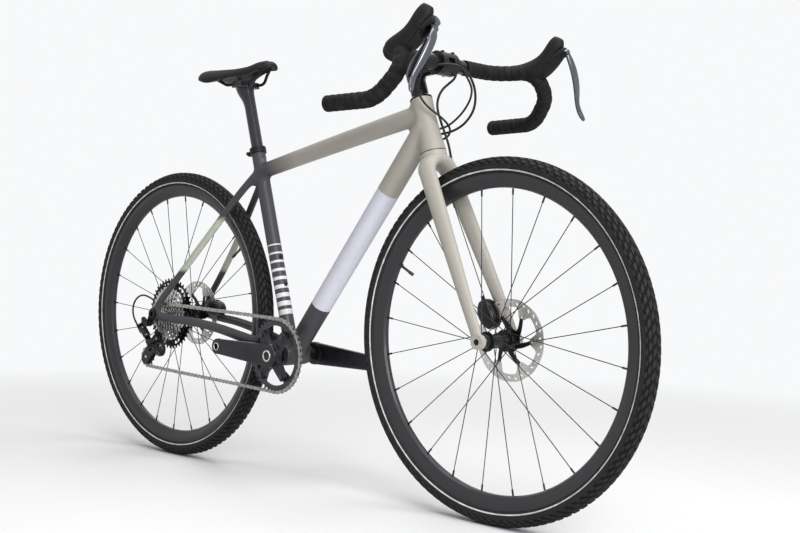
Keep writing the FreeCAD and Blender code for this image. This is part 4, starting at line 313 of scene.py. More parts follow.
def rim_finish(name, centre):
    """Dark satin rim with faint turning lines."""
    finish = Finish(name, (0.03, 0.03, 0.033), 0.36, 0.5)
    rings = finish.turning_lines(centre, 1500.0)
    finish.colour(finish.mixed(rings, (0.02, 0.02, 0.022), (0.042, 0.042, 0.046)))
    finish.uneven(finish.noise(30.0, 3.0), 0.3, 0.44)
    finish.bump(rings, 0.00004, 0.25)
    return finish.material


def grained_cover(name):
    """Tight synthetic saddle cover with a pebble grain."""
    finish = Finish(name, (0.02, 0.02, 0.022), 0.5)
    finish.colour(finish.mixed(finish.noise(18.0, 4.0), (0.006, 0.006, 0.007), (0.016, 0.016, 0.018)))
    finish.uneven(finish.noise(26.0, 3.0), 0.4, 0.56)
    finish.sheen(DULL_SPECULAR)
    finish.bump(finish.cells(900.0), 0.00022, 0.35)
    return finish.material


def tape_cloth(name):
    """Cork-blend bar tape with a stippled skin."""
    finish = Finish(name, (0.018, 0.018, 0.019), 0.72)
    worn = finish.span(finish.noise(70.0, 5.0), 0.35, 0.7)
    finish.colour(finish.mixed(worn, (0.005, 0.005, 0.006), (0.016, 0.016, 0.017)))
    finish.uneven(finish.noise(40.0, 3.0), 0.62, 0.82)
    finish.sheen(DULL_SPECULAR)
    finish.bump(finish.cells(1100.0), 0.0004, 0.5)
    return finish.material


warm_paint = satin_paint("warm_satin_paint", plain(TAUPE))
dark_paint = satin_paint("dark_satin_paint", plain(GUNMETAL))
top_paint = satin_paint("top_tube_paint", banded((1, 0, 0), 0.0, GUNMETAL, (TOP_TUBE_FADE, TAUPE)))
down_paint = satin_paint("down_tube_paint", banded(
    DOWN_TUBE_AXIS, -DOWN_TUBE_TOP.dot(DOWN_TUBE_AXIS), TAUPE, (DOWN_BAND_START, LAVENDER),
    (DOWN_BAND_END, GUNMETAL)))
stay_paint = satin_paint("seat_stay_paint", banded(
    (0, 0, 1), 0.0, GUNMETAL, (STAY_BAND_LOW, PALE_OLIVE), (STAY_BAND_HIGH, GUNMETAL)))
seat_paint = satin_paint("seat_tube_paint", seat_tube_colours)
black_alloy = anodised("black_anodised", (0.011, 0.011, 0.012))
bolt_black = anodised("bolt_black", (0.014, 0.014, 0.015), 0.34)
caliper_black = gloss_black("caliper_black", (0.008, 0.008, 0.009), 0.3)
crank_black = anodised("crank_satin", (0.034, 0.034, 0.038), 0.34, 1600.0, 0.85)
hub_black = gloss_black("polished_black", (0.007, 0.007, 0.008), 0.24)
stem_black = gloss_black("stem_black", (0.007, 0.007, 0.008), 0.2)
dark_alloy = anodised("anthracite_alloy", (0.055, 0.056, 0.062), 0.34, 1600.0, 0.85)
grey_alloy = anodised("grey_lever_alloy", (0.13, 0.133, 0.15), 0.24, 1280.0, 0.95)
moulded = rubber("moulded_plastic", (0.009, 0.009, 0.010), 0.4, 700.0, 0.00006)
hood_skin = rubber("hood_rubber", (0.010, 0.010, 0.011), 0.6, 820.0, 0.00025)
tyre_rubber = rubber("tyre_rubber", (0.017, 0.017, 0.018), 0.62, 420.0, 0.00018)
# Tyre rubber darkened as painted shade, for the casing in the grooves between the tread knobs
groove_painted_shade = rubber("groove_painted_shade", (0.005, 0.005, 0.0055), 0.8, 420.0, 0.00018)
sheath = rubber("hose_sheath", (0.011, 0.011, 0.012), 0.36, 900.0, 0.00004)
lining = rubber("pad_lining", (0.05, 0.046, 0.042), 0.8, 600.0, 0.0002)
steel = bright_steel("chain_steel", (0.58, 0.575, 0.555), 0.26)
chain_grey = bright_steel("chain_grey", (0.34, 0.335, 0.32), 0.30)
spoke_black = anodised("spoke_black", (0.03, 0.03, 0.033), 0.3, 2400.0, 0.9)
post_carbon = carbon("post_carbon")
cover = grained_cover("saddle_cover")
tape = tape_cloth("bar_tape_cloth")
stripe = rubber("sidewall_stripe", (0.62, 0.62, 0.6), 0.45, 900.0, 0.00004)
cassette_finish = cassette_steel("cassette_plating")
front_rotor_steel = rotor_steel("front_rotor_steel", FRONT)
rear_rotor_steel = rotor_steel("rear_rotor_steel", REAR)

dressing = (
    (warm_paint, ("head_tube", "fork")),
    (top_paint, ("top_tube",)),
    (down_paint, ("down_tube",)),
    (seat_paint, ("seat_tube",)),
    (stay_paint, ("seat_stays",)),
    (dark_paint, ("chain_stays",)),
    (black_alloy, ("derailleur_hanger", "frame_bearings", "seat_collar", "rear_brake_caliper",
                   "front_brake_caliper", "rear_thru_axle", "front_thru_axle", "derailleur_knuckle",
                   "derailleur_outer_link", "derailleur_inner_link", "saddle_rails")),
    (moulded, ("derailleur_cage_knuckle", "lever_bodies", "guide_pulley", "tension_pulley")),
    (dark_alloy, ("derailleur_cage", "right_shift_paddle", "freehub_body", "right_crank_arm",
                  "left_crank_arm", "chainring")),
    (stem_black, ("headset_stack", "stem", "stem_faceplate", "handlebar")),
    (tape, ("bar_tape",)),
    (hood_skin, ("lever_hoods",)),
    (grey_alloy, ("right_lever_yoke", "right_brake_lever", "left_brake_lever")),
    (hub_black, ("front_hub", "rear_hub")),
    (spoke_black, ("front_spokes", "rear_spokes")),
    (rim_finish("front_rim_satin", FRONT), ("front_rim",)),
    (rim_finish("rear_rim_satin", REAR), ("rear_rim",)),
    (tyre_rubber, ("front_tyre", "rear_tyre")),
    (front_rotor_steel, ("front_rotor",)),
    (rear_rotor_steel, ("rear_rotor",)),
    (cassette_finish, ("cassette",)),
    (chain_grey, ("chain",)),
    (post_carbon, ("seatpost",)),
    (cover, ("saddle",)),
    (lining, ("front_pad_outer", "front_pad_inner", "rear_pad_outer", "rear_pad_inner")),
    (sheath, ("rear_brake_hose", "front_brake_hose", "shift_housing", "left_control_housing",
              "derailleur_housing")),
)
for material, names in dressing:
    for name in names:
        for node_slot in nodes[name].material_slots:
            node_slot.material = material


# Mesh helpers

TERMINATOR_GEOMETRY = 0.6
TERMINATOR_SHADING = 0.15
WELD = 1e-6
SMOOTH_SHARE = 0.5


def linked(name, data):
    obj = bpy.data.objects.new(name, data)
    bpy.context.scene.collection.objects.link(obj)
    return obj


def settle(obj, body, node=None):
    """Body of a piece, and the solid that it stands for, if any."""
    if node:
        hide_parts(node)
    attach(obj, body)


def shade_smooth(mesh, smooth=True):
    mesh.polygons.foreach_set("use_smooth", [smooth] * len(mesh.polygons))


def piece(name, vertices, faces, materials, indices=None, smooth=True):
    mesh = bpy.data.meshes.new(name)
    mesh.from_pydata([tuple(v) for v in vertices], [], faces)
    for material in materials:
        mesh.materials.append(material)
    if indices is not None:
        mesh.polygons.foreach_set("material_index", indices)
    shade_smooth(mesh, smooth)
    mesh.update()
    obj = linked(name, mesh)
    obj.shadow_terminator_geometry_offset = TERMINATOR_GEOMETRY
    obj.shadow_terminator_shading_offset = TERMINATOR_SHADING
    return obj


def outward(obj):
    """Faces turned to the outside of a closed mesh."""
    mesh = bmesh.new()
    mesh.from_mesh(obj.data)
    bmesh.ops.remove_doubles(mesh, verts=mesh.verts, dist=WELD)
    bmesh.ops.recalc_face_normals(mesh, faces=mesh.faces)
    mesh.to_mesh(obj.data)
    mesh.free()
    return obj


def apply_modifiers(obj):
    graph = bpy.context.evaluated_depsgraph_get()
    mesh = bpy.data.meshes.new_from_object(obj.evaluated_get(graph))
    obj.modifiers.clear()
    obj.data = mesh
    return obj


def merged(name, sources, material):
    """A copy of several solids as one mesh."""
    vertices = []
    faces = []
    for source in sources:
        mesh = nodes[source].data
        base = len(vertices)
        vertices += [v.co.copy() for v in mesh.vertices]
        faces += [[base + i for i in p.vertices] for p in mesh.polygons]
    return outward(piece(name, vertices, faces, [material]))


def voxels(obj, size):
    remesh = obj.modifiers.new("remesh", "REMESH")
    remesh.mode = "VOXEL"
    remesh.voxel_size = size


def swell(obj, distance):
    push = obj.modifiers.new("swell", "DISPLACE")
    push.strength = distance
    push.mid_level = 0.0


def ironed(obj, rounds):
    smooth = obj.modifiers.new("smooth", "SMOOTH")
    smooth.factor = SMOOTH_SHARE
    smooth.iterations = rounds


def softened(name, node, material, voxel, rounds):
    """A copy of one solid with its corners rounded."""
    obj = merged(name, [node], material)
    voxels(obj, voxel)
    ironed(obj, rounds)
    apply_modifiers(obj)
    shade_smooth(obj.data)
    return obj


def ring_faces(rings, around, closed):
    """Quads over a grid of rings, each with the same number of points."""
    faces = []
    for i in range(rings if closed else rings - 1):
        low = i * around
        high = ((i + 1) % rings) * around
        for j in range(around):
            k = (j + 1) % around
            faces.append((low + j, low + k, high + k, high + j))
    return faces


# Camera and studio

CAMERA_PLACE = (1.8874, -1.7275, 0.5097)
CAMERA_YAW = math.radians(43.519)
CAMERA_PITCH = math.radians(0.63)
CAMERA_ROLL = math.radians(1.362)
CAMERA_LENS = 52.53
SENSOR_WIDTH = 36.0
CLIP_END = 60.0
FLOOR_HALF = 14.0
FLOOR_NEAR = 0.9
FLOOR_FAR = 2.6
BACKDROP = (0.94, 0.945, 0.955, 1.0)
WORLD_STRENGTH = 0.25
SOFTBOXES = (
    # name, place, aim, size, watts
    ("overhead", (0.3, -0.1, 3.4), (0.0, 0.0, 0.4), (3.4, 2.4), 96.0),
    ("front", (3.2, -1.3, 1.7), (0.1, 0.0, 0.5), (1.8, 2.0), 108.0),
    ("rear", (-2.6, 2.2, 2.1), (0.0, 0.0, 0.5), (2.2, 1.8), 18.0),
)


def place_camera():
    data = bpy.data.cameras.new("camera")
    data.lens = CAMERA_LENS
    data.sensor_width = SENSOR_WIDTH
    data.clip_end = CLIP_END
    camera = linked("camera", data)
    flat = math.cos(CAMERA_PITCH)
    back = Vector((math.sin(CAMERA_YAW) * flat, -math.cos(CAMERA_YAW) * flat, math.sin(CAMERA_PITCH)))
    level = (-back).cross(Vector((0, 0, 1))).normalized()
    rise = level.cross(-back)
    right = level * math.cos(CAMERA_ROLL) + rise * math.sin(CAMERA_ROLL)
    up = rise * math.cos(CAMERA_ROLL) - level * math.sin(CAMERA_ROLL)
    turn = Matrix((right, up, back)).transposed().to_4x4()
    camera.matrix_world = Matrix.Translation(CAMERA_PLACE) @ turn
    bpy.context.scene.camera = camera


def softbox(name, place, aim, size, power):
    data = bpy.data.lights.new(name, "AREA")
    data.shape = "RECTANGLE"
    data.size, data.size_y = size
    data.energy = power
    lamp = linked(name, data)
    lamp.location = place
    lamp.rotation_euler = (Vector(aim) - Vector(place)).to_track_quat("-Z", "Y").to_euler()


def white_to_the_eye(tree, shown, lit):
    """Share of 1 for camera, glossy and transmission rays, which see the plain backdrop."""
    path = tree.nodes.new("ShaderNodeLightPath")
    total = path.outputs["Is Camera Ray"]
    for ray in ("Is Glossy Ray", "Is Transmission Ray"):
        join = tree.nodes.new("ShaderNodeMath")
        join.operation = "MAXIMUM"
        tree.links.new(total, join.inputs[0])
        tree.links.new(path.outputs[ray], join.inputs[1])
        total = join.outputs[0]
    mix = tree.nodes.new("ShaderNodeMixShader")
    tree.links.new(total, mix.inputs[0])
    tree.links.new(lit.outputs[0], mix.inputs[1])
    tree.links.new(shown.outputs[0], mix.inputs[2])
    return mix


def pale_floor():
    """Matt floor that keeps the shadow near the part and turns into the plain backdrop further out."""
    finish = Finish("pale_floor", (0.86, 0.86, 0.865), 0.75)
    finish.colour(finish.mixed(finish.noise(1.5, 4.0), (0.85, 0.85, 0.855), (0.875, 0.875, 0.88)))
    tree = finish.tree
    far = finish.span(finish.vector("LENGTH", finish.place)["Value"], FLOOR_NEAR, FLOOR_FAR)
    shown = finish.add("ShaderNodeEmission", {"Color": BACKDROP, "Strength": 1.0})
    near = finish.add("ShaderNodeMixShader", {0: far})
    tree.links.new(finish.shader.outputs[0], near.inputs[1])
    tree.links.new(shown.outputs[0], near.inputs[2])
    mix = white_to_the_eye(tree, near, finish.shader)
    tree.links.new(mix.outputs[0], tree.nodes["Material Output"].inputs["Surface"])
    return finish.material


def studio():
    scene = bpy.context.scene
    scene.view_settings.view_transform = "Standard"
    world = bpy.data.worlds.new("studio")
    scene.world = world
    world.use_nodes = True
    tree = world.node_tree
    lit = tree.nodes["Background"]
    lit.inputs["Color"].default_value = (1.0, 1.0, 1.0, 1.0)
    lit.inputs["Strength"].default_value = WORLD_STRENGTH
    shown = tree.nodes.new("ShaderNodeBackground")
    shown.inputs["Color"].default_value = BACKDROP
    shown.inputs["Strength"].default_value = 1.0
    mix = white_to_the_eye(tree, shown, lit)
    tree.links.new(mix.outputs[0], tree.nodes["World Output"].inputs["Surface"])
    for box in SOFTBOXES:
        softbox(*box)
    corners = [(FLOOR_HALF * x, FLOOR_HALF * y, 0) for x, y in ((-1, -1), (1, -1), (1, 1), (-1, 1))]
    floor = piece("floor", corners, [(0, 1, 2, 3)], [pale_floor()], smooth=False)


place_camera()
studio()


# Hoses and housings

HOSE = 0.005
HOUSING = 0.0044
derailleur_route = [REAR + Vector(offset) for offset in (
    (0.004, -0.080, 0.034), (-0.018, -0.083, 0.044), (-0.046, -0.086, 0.044), (-0.068, -0.088, 0.026),
    (-0.073, -0.088, 0.002), (-0.066, -0.086, -0.020), (-0.055, -0.082, -0.034))]
hose_routes = {
    "rear_brake_hose": (HOSE, "blend", [
        (0.359, -0.039, 0.877), (0.385, -0.018, 0.884), (0.403, 0.012, 0.872), (0.408, 0.034, 0.838),
        (0.398, 0.046, 0.800), (0.372, 0.048, 0.772), (0.344, 0.042, 0.757), (0.318, 0.032, 0.752),
        (0.294, 0.019, 0.747)]),
    "shift_housing": (HOUSING, "blend", [
        (0.344, -0.045, 0.878), (0.326, -0.044, 0.850), (0.322, -0.038, 0.824), (0.334, -0.024, 0.800),
        (0.352, -0.004, 0.782), (0.358, 0.018, 0.764), (0.342, 0.036, 0.748), (0.316, 0.032, 0.738),
        (0.294, 0.019, 0.730)]),
    "left_control_housing": (HOUSING, "blend", [
        (0.360, 0.051, 0.878), (0.378, 0.057, 0.852), (0.380, 0.056, 0.826), (0.370, 0.048, 0.800),
        (0.354, 0.040, 0.780), (0.334, 0.034, 0.766), (0.312, 0.030, 0.762), (0.294, 0.019, 0.757)]),
    "front_brake_hose": (HOSE, "steering", [
        (0.361, 0.030, 0.877), (0.362, 0.028, 0.862), (0.350, 0.020, 0.850), (0.338, 0.013, 0.838),
        (0.331, 0.009, 0.820), (0.331, 0.008, 0.800), (0.340, 0.011, 0.772), (0.350, 0.016, 0.744),
        (0.355, 0.022, 0.720), (0.354, 0.030, 0.694)]),
    "derailleur_housing": (HOUSING, "frame", derailleur_route),
}


def route_curve(name, points, diameter):
    """Open smooth spline with the route's points as control points."""
    data = bpy.data.curves.new(name, "CURVE")
    data.dimensions = "3D"
    data.resolution_u = 16
    spline = data.splines.new("NURBS")
    spline.points.add(len(points) - 1)
    for control, point in zip(spline.points, points):
        control.co = (*point, 1.0)
    spline.order_u = 3
    spline.use_endpoint_u = True
    data.bevel_depth = diameter / 2
    data.bevel_resolution = 5
    data.use_fill_caps = True
    return linked(name, data)


def curve_mesh(obj):
    graph = bpy.context.evaluated_depsgraph_get()
    graph.update()
    return bpy.data.meshes.new_from_object(obj.evaluated_get(graph))


def lay_hose(node, diameter, carrier, points):
    line = route_curve(node + "_line", points, 0.0)
    path = [v.co.copy() for v in curve_mesh(line).vertices]
    bpy.data.objects.remove(line)
    hose = route_curve(node + "_run", points, diameter)
    if carrier == "blend":
        mesh = curve_mesh(hose)
        bpy.data.objects.remove(hose)
        hose = linked(node + "_run", mesh)
        shade_smooth(mesh)
    hose.data.materials.append(sheath)
    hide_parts(node)
    if carrier == "blend":
        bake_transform(hose)
    else:
        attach(hose, carrier)


for node, (diameter, carrier, points) in hose_routes.items():
    lay_hose(node, diameter, carrier, points)


# Tyres

TYRE_CENTRE = 0.330
TREAD_RADIUS = 0.347
CASING_HALF_WIDTH = 0.0189
CASING_CROWN = 0.0164
SIDEWALL = 0.019
TYRE_LIP = math.radians(131.4)
TYRE_BEAD = [(0.0116, 0.3174), (0.0116, 0.3111), (0.0090, 0.3111)]
TYRE_INSIDE = (0.0162, 0.0160)
TYRE_INSIDE_STOPS = range(120, -121, -20)
STRIPE_ANGLES = (math.radians(108.0), math.radians(116.0))
TREAD_EDGE = math.radians(80.0)
TYRE_STEPS = 288
CASING_STEPS = 22
TREAD_ROWS = (
    # angle from the crown, half width, half length, skew, count, height
    (0.0, 0.0042, 0.0078, 0.0036, 108, 0.0025),
    (27.0, 0.0034, 0.0076, 0.0052, 108, 0.0025),
    (50.0, 0.0030, 0.0068, 0.0046, 108, 0.0022),
    (69.0, 0.0024, 0.0060, 0.0030, 108, 0.0015),
)
ROW_SHIFT = 0.5
SIDE_SHIFT = 0.25
KNOB_SINK = -0.0006
KNOB_TOP = 0.8
KNOB_CORNERS = ((-1, -1), (1, -1), (1, 1), (-1, 1))
KNOB_FACES = ((4, 5, 6, 7), (0, 1, 5, 4), (1, 2, 6, 5), (2, 3, 7, 6), (3, 0, 4, 7), (3, 2, 1, 0))


def casing(angle):
    """Lateral place and radius on the tyre casing, at an angle from the crown."""
    height = CASING_CROWN if abs(angle) < math.pi / 2 else SIDEWALL
    return CASING_HALF_WIDTH * math.sin(angle), TYRE_CENTRE + height * math.cos(angle)


def casing_normal(angle):
    lateral = math.sin(angle) / CASING_HALF_WIDTH
    radial = math.cos(angle) / CASING_CROWN
    scale = math.hypot(lateral, radial)
    return lateral / scale, radial / scale


def on_wheel(axle, turn, lateral, radius):
    return Vector((axle.x + radius * math.sin(turn), lateral, axle.z + radius * math.cos(turn)))


def tyre_profile():
    """Closed outline of the tyre and, for each of its edges, its material: rubber, stripe, or darker rubber
    between the knobs that is painted shade.
    """
    low, high = STRIPE_ANGLES
    stops = [TYRE_LIP * k / CASING_STEPS for k in range(-CASING_STEPS, CASING_STEPS + 1)]
    stops += [sign * a for a in (low, high) for sign in (-1, 1)]
    stops.sort()
    outline = [casing(a) for a in stops]
    finishes = []
    for a, b in zip(stops, stops[1:]):
        middle = abs((a + b) / 2)
        # Edges under the tread take the darker rubber: painted shade in the grooves between the knobs
        finishes.append(2 if middle < TREAD_EDGE else int(low <= middle <= high))
    half_width, half_height = TYRE_INSIDE
    inner = [(half_width * math.sin(a), TYRE_CENTRE + half_height * math.cos(a))
             for a in map(math.radians, TYRE_INSIDE_STOPS)]
    tail = TYRE_BEAD + inner + [(-y, r) for y, r in reversed(TYRE_BEAD)]
    return outline + tail, finishes + [0] * (len(tail) + 1)


def knob(axle, turn, side, middle, half_wide, half_long, skew, height):
    corners = []
    for lift, shrink in ((KNOB_SINK, 1.0), (height, KNOB_TOP)):
        for across, ahead in KNOB_CORNERS:
            angle = middle + across * half_wide * shrink / CASING_CROWN
            lateral, radius = casing(angle)
            out, up = casing_normal(angle)
            along = ahead * half_long * shrink + side * across * skew * shrink
            spin = turn + along / TREAD_RADIUS
            corners.append(on_wheel(axle, spin, lateral + out * lift, radius + up * lift))
    return corners


def tread_blocks(axle):
    """Angled knobs in rows round the tyre, mirrored across its middle."""
    vertices = []
    faces = []
    for row, (degrees, half_wide, half_long, skew, count, height) in enumerate(TREAD_ROWS):
        for side in ((1,) if degrees == 0 else (-1, 1)):
            middle = math.radians(degrees) * side
            for k in range(count):
                turn = FULL_TURN * (k + ROW_SHIFT * (row % 2) + SIDE_SHIFT * (side < 0)) / count
                faces += [[len(vertices) + i for i in quad] for quad in KNOB_FACES]
                vertices += knob(axle, turn, side, middle, half_wide, half_long, skew, height)
    return vertices, faces


def build_tyre(node, axle, body):
    outline, finishes = tyre_profile()
    vertices = []
    for k in range(TYRE_STEPS):
        turn = FULL_TURN * k / TYRE_STEPS
        vertices += [on_wheel(axle, turn, lateral, radius) for lateral, radius in outline]
    faces = ring_faces(TYRE_STEPS, len(outline), True)
    # The third material is darker rubber, painted shade between the knobs
    rubbers = [tyre_rubber, stripe, groove_painted_shade]
    carcass = outward(piece(node + "_casing", vertices, faces, rubbers, finishes * TYRE_STEPS))
    settle(carcass, body, node)
    vertices, faces = tread_blocks(axle)
    knobs = outward(piece(node + "_tread", vertices, faces, [tyre_rubber], smooth=False))
    settle(knobs, body)


build_tyre("front_tyre", FRONT, "front_wheel")
build_tyre("rear_tyre", REAR, "rear_wheel")


# Bar tape, wound round the bar as one strip a side

BAR_BENDS = (0.058, 0.044, 0.044, 0.058)
BAR_REACH = 0.080
BAR_SPREAD = 0.165
BAR_DROP = 0.099
BAR_STEP = 0.0015
TAPE_START = 0.062
TAPE_PITCH = 0.0165
TAPE_LAP = 1.28
TAPE_INNER = 0.0139
TAPE_LIFT = 0.0013
TAPE_CROWN = 0.0004
TAPE_EDGE = 0.0005
TAPE_THICK = 0.0012
TAPE_STEPS = 30
TAPE_WELD = 2e-5
SAME_POINT = 1e-7
LATHE_AXIS = 1e-5
TAPE_ACROSS = (0.0, 0.06, 0.3, 0.55, 0.8, 1.0, TAPE_LAP)
PLUG_PROFILE = ((0.0108, -0.004), (0.0150, -0.004), (0.0152, -0.001), (0.0146, 0.0012), (0.0118, 0.0024),
                (0.0060, 0.0028), (0.0, 0.0028))


def bar_corners(side):
    offsets = (
        (0.0, TAPE_START, 0.0),
        (0.0, BAR_SPREAD, 0.0),
        (BAR_REACH, BAR_SPREAD + 0.031, 0.002),
        (BAR_REACH + 0.011, BAR_SPREAD + 0.055, -BAR_DROP / 2),
        (BAR_REACH - 0.032, BAR_SPREAD + 0.071, -BAR_DROP),
        (-0.071, BAR_SPREAD + 0.078, -BAR_DROP - 0.001),
    )
    return [BAR_CENTRE + Vector((x, side * y, z)) for x, y, z in offsets]


def bar_line(side):
    """Points along the bar: straight runs joined by bends of the bar's own radii."""
    corners = bar_corners(side)
    line = [corners[0]]
    for before, corner, after, radius in zip(corners, corners[1:], corners[2:], BAR_BENDS):
        a = (before - corner).normalized()
        b = (after - corner).normalized()
        half = a.angle(b) / 2
        setback = radius / math.tan(half)
        centre = corner + (a + b).normalized() * (radius / math.sin(half))
        first = corner + a * setback - centre
        last = corner + b * setback - centre
        sweep = first.angle(last)
        axis = first.cross(last).normalized()
        count = max(2, int(sweep * radius / BAR_STEP))
        line += [centre + Quaternion(axis, sweep * k / count) @ first for k in range(count + 1)]
    line.append(corners[-1])
    return line


class Track:
    """A line that can be read at any distance, with a frame that doesn't twist."""

    def __init__(self, points):
        points = [p for p, q in zip(points, points[1:]) if (q - p).length > SAME_POINT] + [points[-1]]
        self.points = points
        steps = [(q - p).length for p, q in zip(points, points[1:])]
        self.at = np.concatenate([[0.0], np.cumsum(steps)])
        self.length = float(self.at[-1])
        self.ahead = [(points[min(k + 1, len(points) - 1)] - points[max(k - 1, 0)]).normalized()
                      for k in range(len(points))]
        side = self.ahead[0].orthogonal().normalized()
        self.sides = []
        for ahead in self.ahead:
            side = (side - ahead * side.dot(ahead)).normalized()
            self.sides.append(side)

    def read(self, distance):
        distance = min(max(distance, 0.0), self.length)
        k = int(min(max(np.searchsorted(self.at, distance) - 1, 0), len(self.points) - 2))
        share = (distance - self.at[k]) / (self.at[k + 1] - self.at[k])
        point = self.points[k].lerp(self.points[k + 1], share)
        ahead = self.ahead[k].lerp(self.ahead[k + 1], share).normalized()
        side = self.sides[k].lerp(self.sides[k + 1], share).normalized()
        return point, ahead, side


def wind_tape(side):
    track = Track(bar_line(side))
    turns = track.length / TAPE_PITCH + TAPE_LAP
    count = int(turns * TAPE_STEPS)
    vertices = []
    for k in range(count + 1):
        spin = FULL_TURN * k / TAPE_STEPS
        start = TAPE_PITCH * (k / TAPE_STEPS - TAPE_LAP)
        for v in TAPE_ACROSS:
            point, ahead, normal = track.read(start + v * TAPE_PITCH)
            lift = TAPE_LIFT * (1.0 - v / TAPE_LAP) + TAPE_CROWN * math.sin(math.pi * min(v, 1.0))
            edge = TAPE_EDGE if v == 0.0 else 0.0
            radial = normal * math.cos(spin) + ahead.cross(normal) * math.sin(spin)
            vertices.append(point + radial * (TAPE_INNER + lift - edge))
    wide = len(TAPE_ACROSS)
    faces = []
    for k in range(count):
        for j in range(wide - 1):
            low = k * wide + j
            faces.append((low, low + 1, low + wide + 1, low + wide))
    return vertices, faces


def build_tape():
    vertices = []
    faces = []
    for side in (-1, 1):
        points, quads = wind_tape(side)
        base = len(vertices)
        vertices += points
        faces += [[base + i for i in (quad if side > 0 else quad[::-1])] for quad in quads]
    strip = piece("bar_tape_wraps", vertices, faces, [tape])
    mesh = bmesh.new()
    mesh.from_mesh(strip.data)
    bmesh.ops.dissolve_degenerate(mesh, dist=TAPE_WELD, edges=mesh.edges)
    mesh.to_mesh(strip.data)
    mesh.free()
    thick = strip.modifiers.new("thick", "SOLIDIFY")
    thick.thickness = TAPE_THICK
    thick.offset = 0.0
    apply_modifiers(strip)
    settle(strip, "steering", "bar_tape")


def lathe(name, centre, axis, outline, material, around=40, ring=False):
    """Turned piece; outline is (radius, place along the axis), and it closes on itself in a ring."""
    axis = Vector(axis).normalized()
    side = axis.orthogonal().normalized()
    rise = axis.cross(side)
    vertices = []
    for radius, along in outline:
        for k in range(around):
            a = FULL_TURN * k / around
            arm = side * math.cos(a) + rise * math.sin(a)
            vertices.append(centre + axis * along + arm * max(radius, LATHE_AXIS))
    faces = ring_faces(len(outline), around, ring)
    if not ring:
        faces.append(list(range(around))[::-1])
        faces.append([(len(outline) - 1) * around + k for k in range(around)])
    return outward(piece(name, vertices, faces, [material]))


def bar_plugs():
    for side, word in ((-1, "right"), (1, "left")):
        corners = bar_corners(side)
        plug = lathe(word + "_bar_plug", corners[-1], corners[-1] - corners[-2], PLUG_PROFILE, moulded)
        settle(plug, "steering")


build_tape()
bar_plugs()


# Rubber hoods and saddle

HOOD_VOXEL = 0.0011
HOOD_ROUNDS = 8
SADDLE_REAR = -0.386
SADDLE_LENGTH = 0.222
SADDLE_HALF = 0.069
SADDLE_TOP = 0.943
SADDLE_RINGS = 64
SADDLE_UNDERSIDE = 3
SADDLE_ROWS = (
    # share of length, half width, lift, depth, channel
    (0.0, 0.50, -0.0130, 0.014, 0.0005), (0.04, 0.74, -0.0100, 0.024, 0.0015),
    (0.13, 0.95, -0.0085, 0.032, 0.0034), (0.26, 1.0, -0.0100, 0.036, 0.0048),
    (0.36, 0.87, -0.0105, 0.030, 0.0056), (0.46, 0.66, -0.0105, 0.0245, 0.0058),
    (0.65, 0.38, -0.0070, 0.0215, 0.0050), (0.85, 0.29, 0.0005, 0.021, 0.0036),
    (0.97, 0.25, -0.0030, 0.017, 0.0016), (1.0, 0.17, -0.0080, 0.010, 0.0005))
SADDLE_SECTION = (
    # share of half width, fall as a share of depth, share of the channel
    (0.0, 0.0, 1.0), (0.10, 0.0, 0.85), (0.19, 0.0, 0.30), (0.28, 0.0, 0.0), (0.45, 0.035, 0.0),
    (0.62, 0.10, 0.0), (0.78, 0.22, 0.0), (0.90, 0.40, 0.0), (0.98, 0.64, 0.0), (1.0, 0.80, 0.0),
    (0.97, 0.93, 0.0), (0.92, 0.98, 0.0), (0.80, 0.93, 0.0), (0.62, 0.84, 0.0), (0.30, 0.68, 0.0),
    (0.0, 0.66, 0.0))


def eased_rows(rows, count):
    """Rows read at even steps along the first column, on a smooth line through all of them."""
    table = np.array(rows)
    x = table[:, 0]
    slopes = np.gradient(table, x, axis=0)
    out = []
    for s in np.linspace(0.0, 1.0, count):
        k = int(min(max(np.searchsorted(x, s) - 1, 0), len(x) - 2))
        width = x[k + 1] - x[k]
        t = (s - x[k]) / width
        a, b = 2 * t ** 3 - 3 * t ** 2 + 1, t ** 3 - 2 * t ** 2 + t
        c, d = -2 * t ** 3 + 3 * t ** 2, t ** 3 - t ** 2
        out.append(a * table[k] + b * width * slopes[k] + c * table[k + 1] + d * width * slopes[k + 1])
    return out


def build_saddle():
    half = list(SADDLE_SECTION)
    loop = [(1, row) for row in half] + [(-1, row) for row in reversed(half[1:-1])]
    rings = eased_rows(SADDLE_ROWS, SADDLE_RINGS)
    vertices = []
    for share, wide, lift, depth, dip in rings:
        for side, (across, fall, channel) in loop:
            vertices.append((SADDLE_REAR + SADDLE_LENGTH * share, side * across * SADDLE_HALF * wide,
                             SADDLE_TOP + lift - fall * depth - channel * dip))
    around = len(loop)
    faces = ring_faces(len(rings), around, False)
    faces.append(list(range(around)))
    faces.append([(len(rings) - 1) * around + k for k in range(around)][::-1])
    under = [int(abs(j - len(half) + 1) <= SADDLE_UNDERSIDE) for j in range(around)]
    indices = under * (len(rings) - 1) + [0, 0]
    pad = outward(piece("saddle_pad", vertices, faces, [cover, moulded], indices))
    smooth = pad.modifiers.new("smooth", "SUBSURF")
    smooth.levels = 1
    smooth.render_levels = 1
    apply_modifiers(pad)
    settle(pad, "seat", "saddle")


hoods = softened("lever_hood_skins", "lever_hoods", hood_skin, HOOD_VOXEL, HOOD_ROUNDS)
settle(hoods, "steering", "lever_hoods")
build_saddle()


# Painted tubes as one surface with eased joints, cut again at the tubes' borders

FRAME_TUBES = {
    "head_tube": (warm_paint, "warm_paint"),
    "top_tube": (top_paint, "fade_paint"),
    "down_tube": (down_paint, "warm_paint"),
    "seat_tube": (seat_paint, "dark_paint"),
    "seat_stays": (stay_paint, "dark_paint"),
    "chain_stays": (dark_paint, "dark_paint"),
}
SKIN_VOXEL = 0.0018
JOINT_EASE = 0.008
JOINT_ROUNDS = 4
SKIN_ROUNDS = 6
SKIN_SHARE = 0.4
NORMAL_ROUNDS = 6


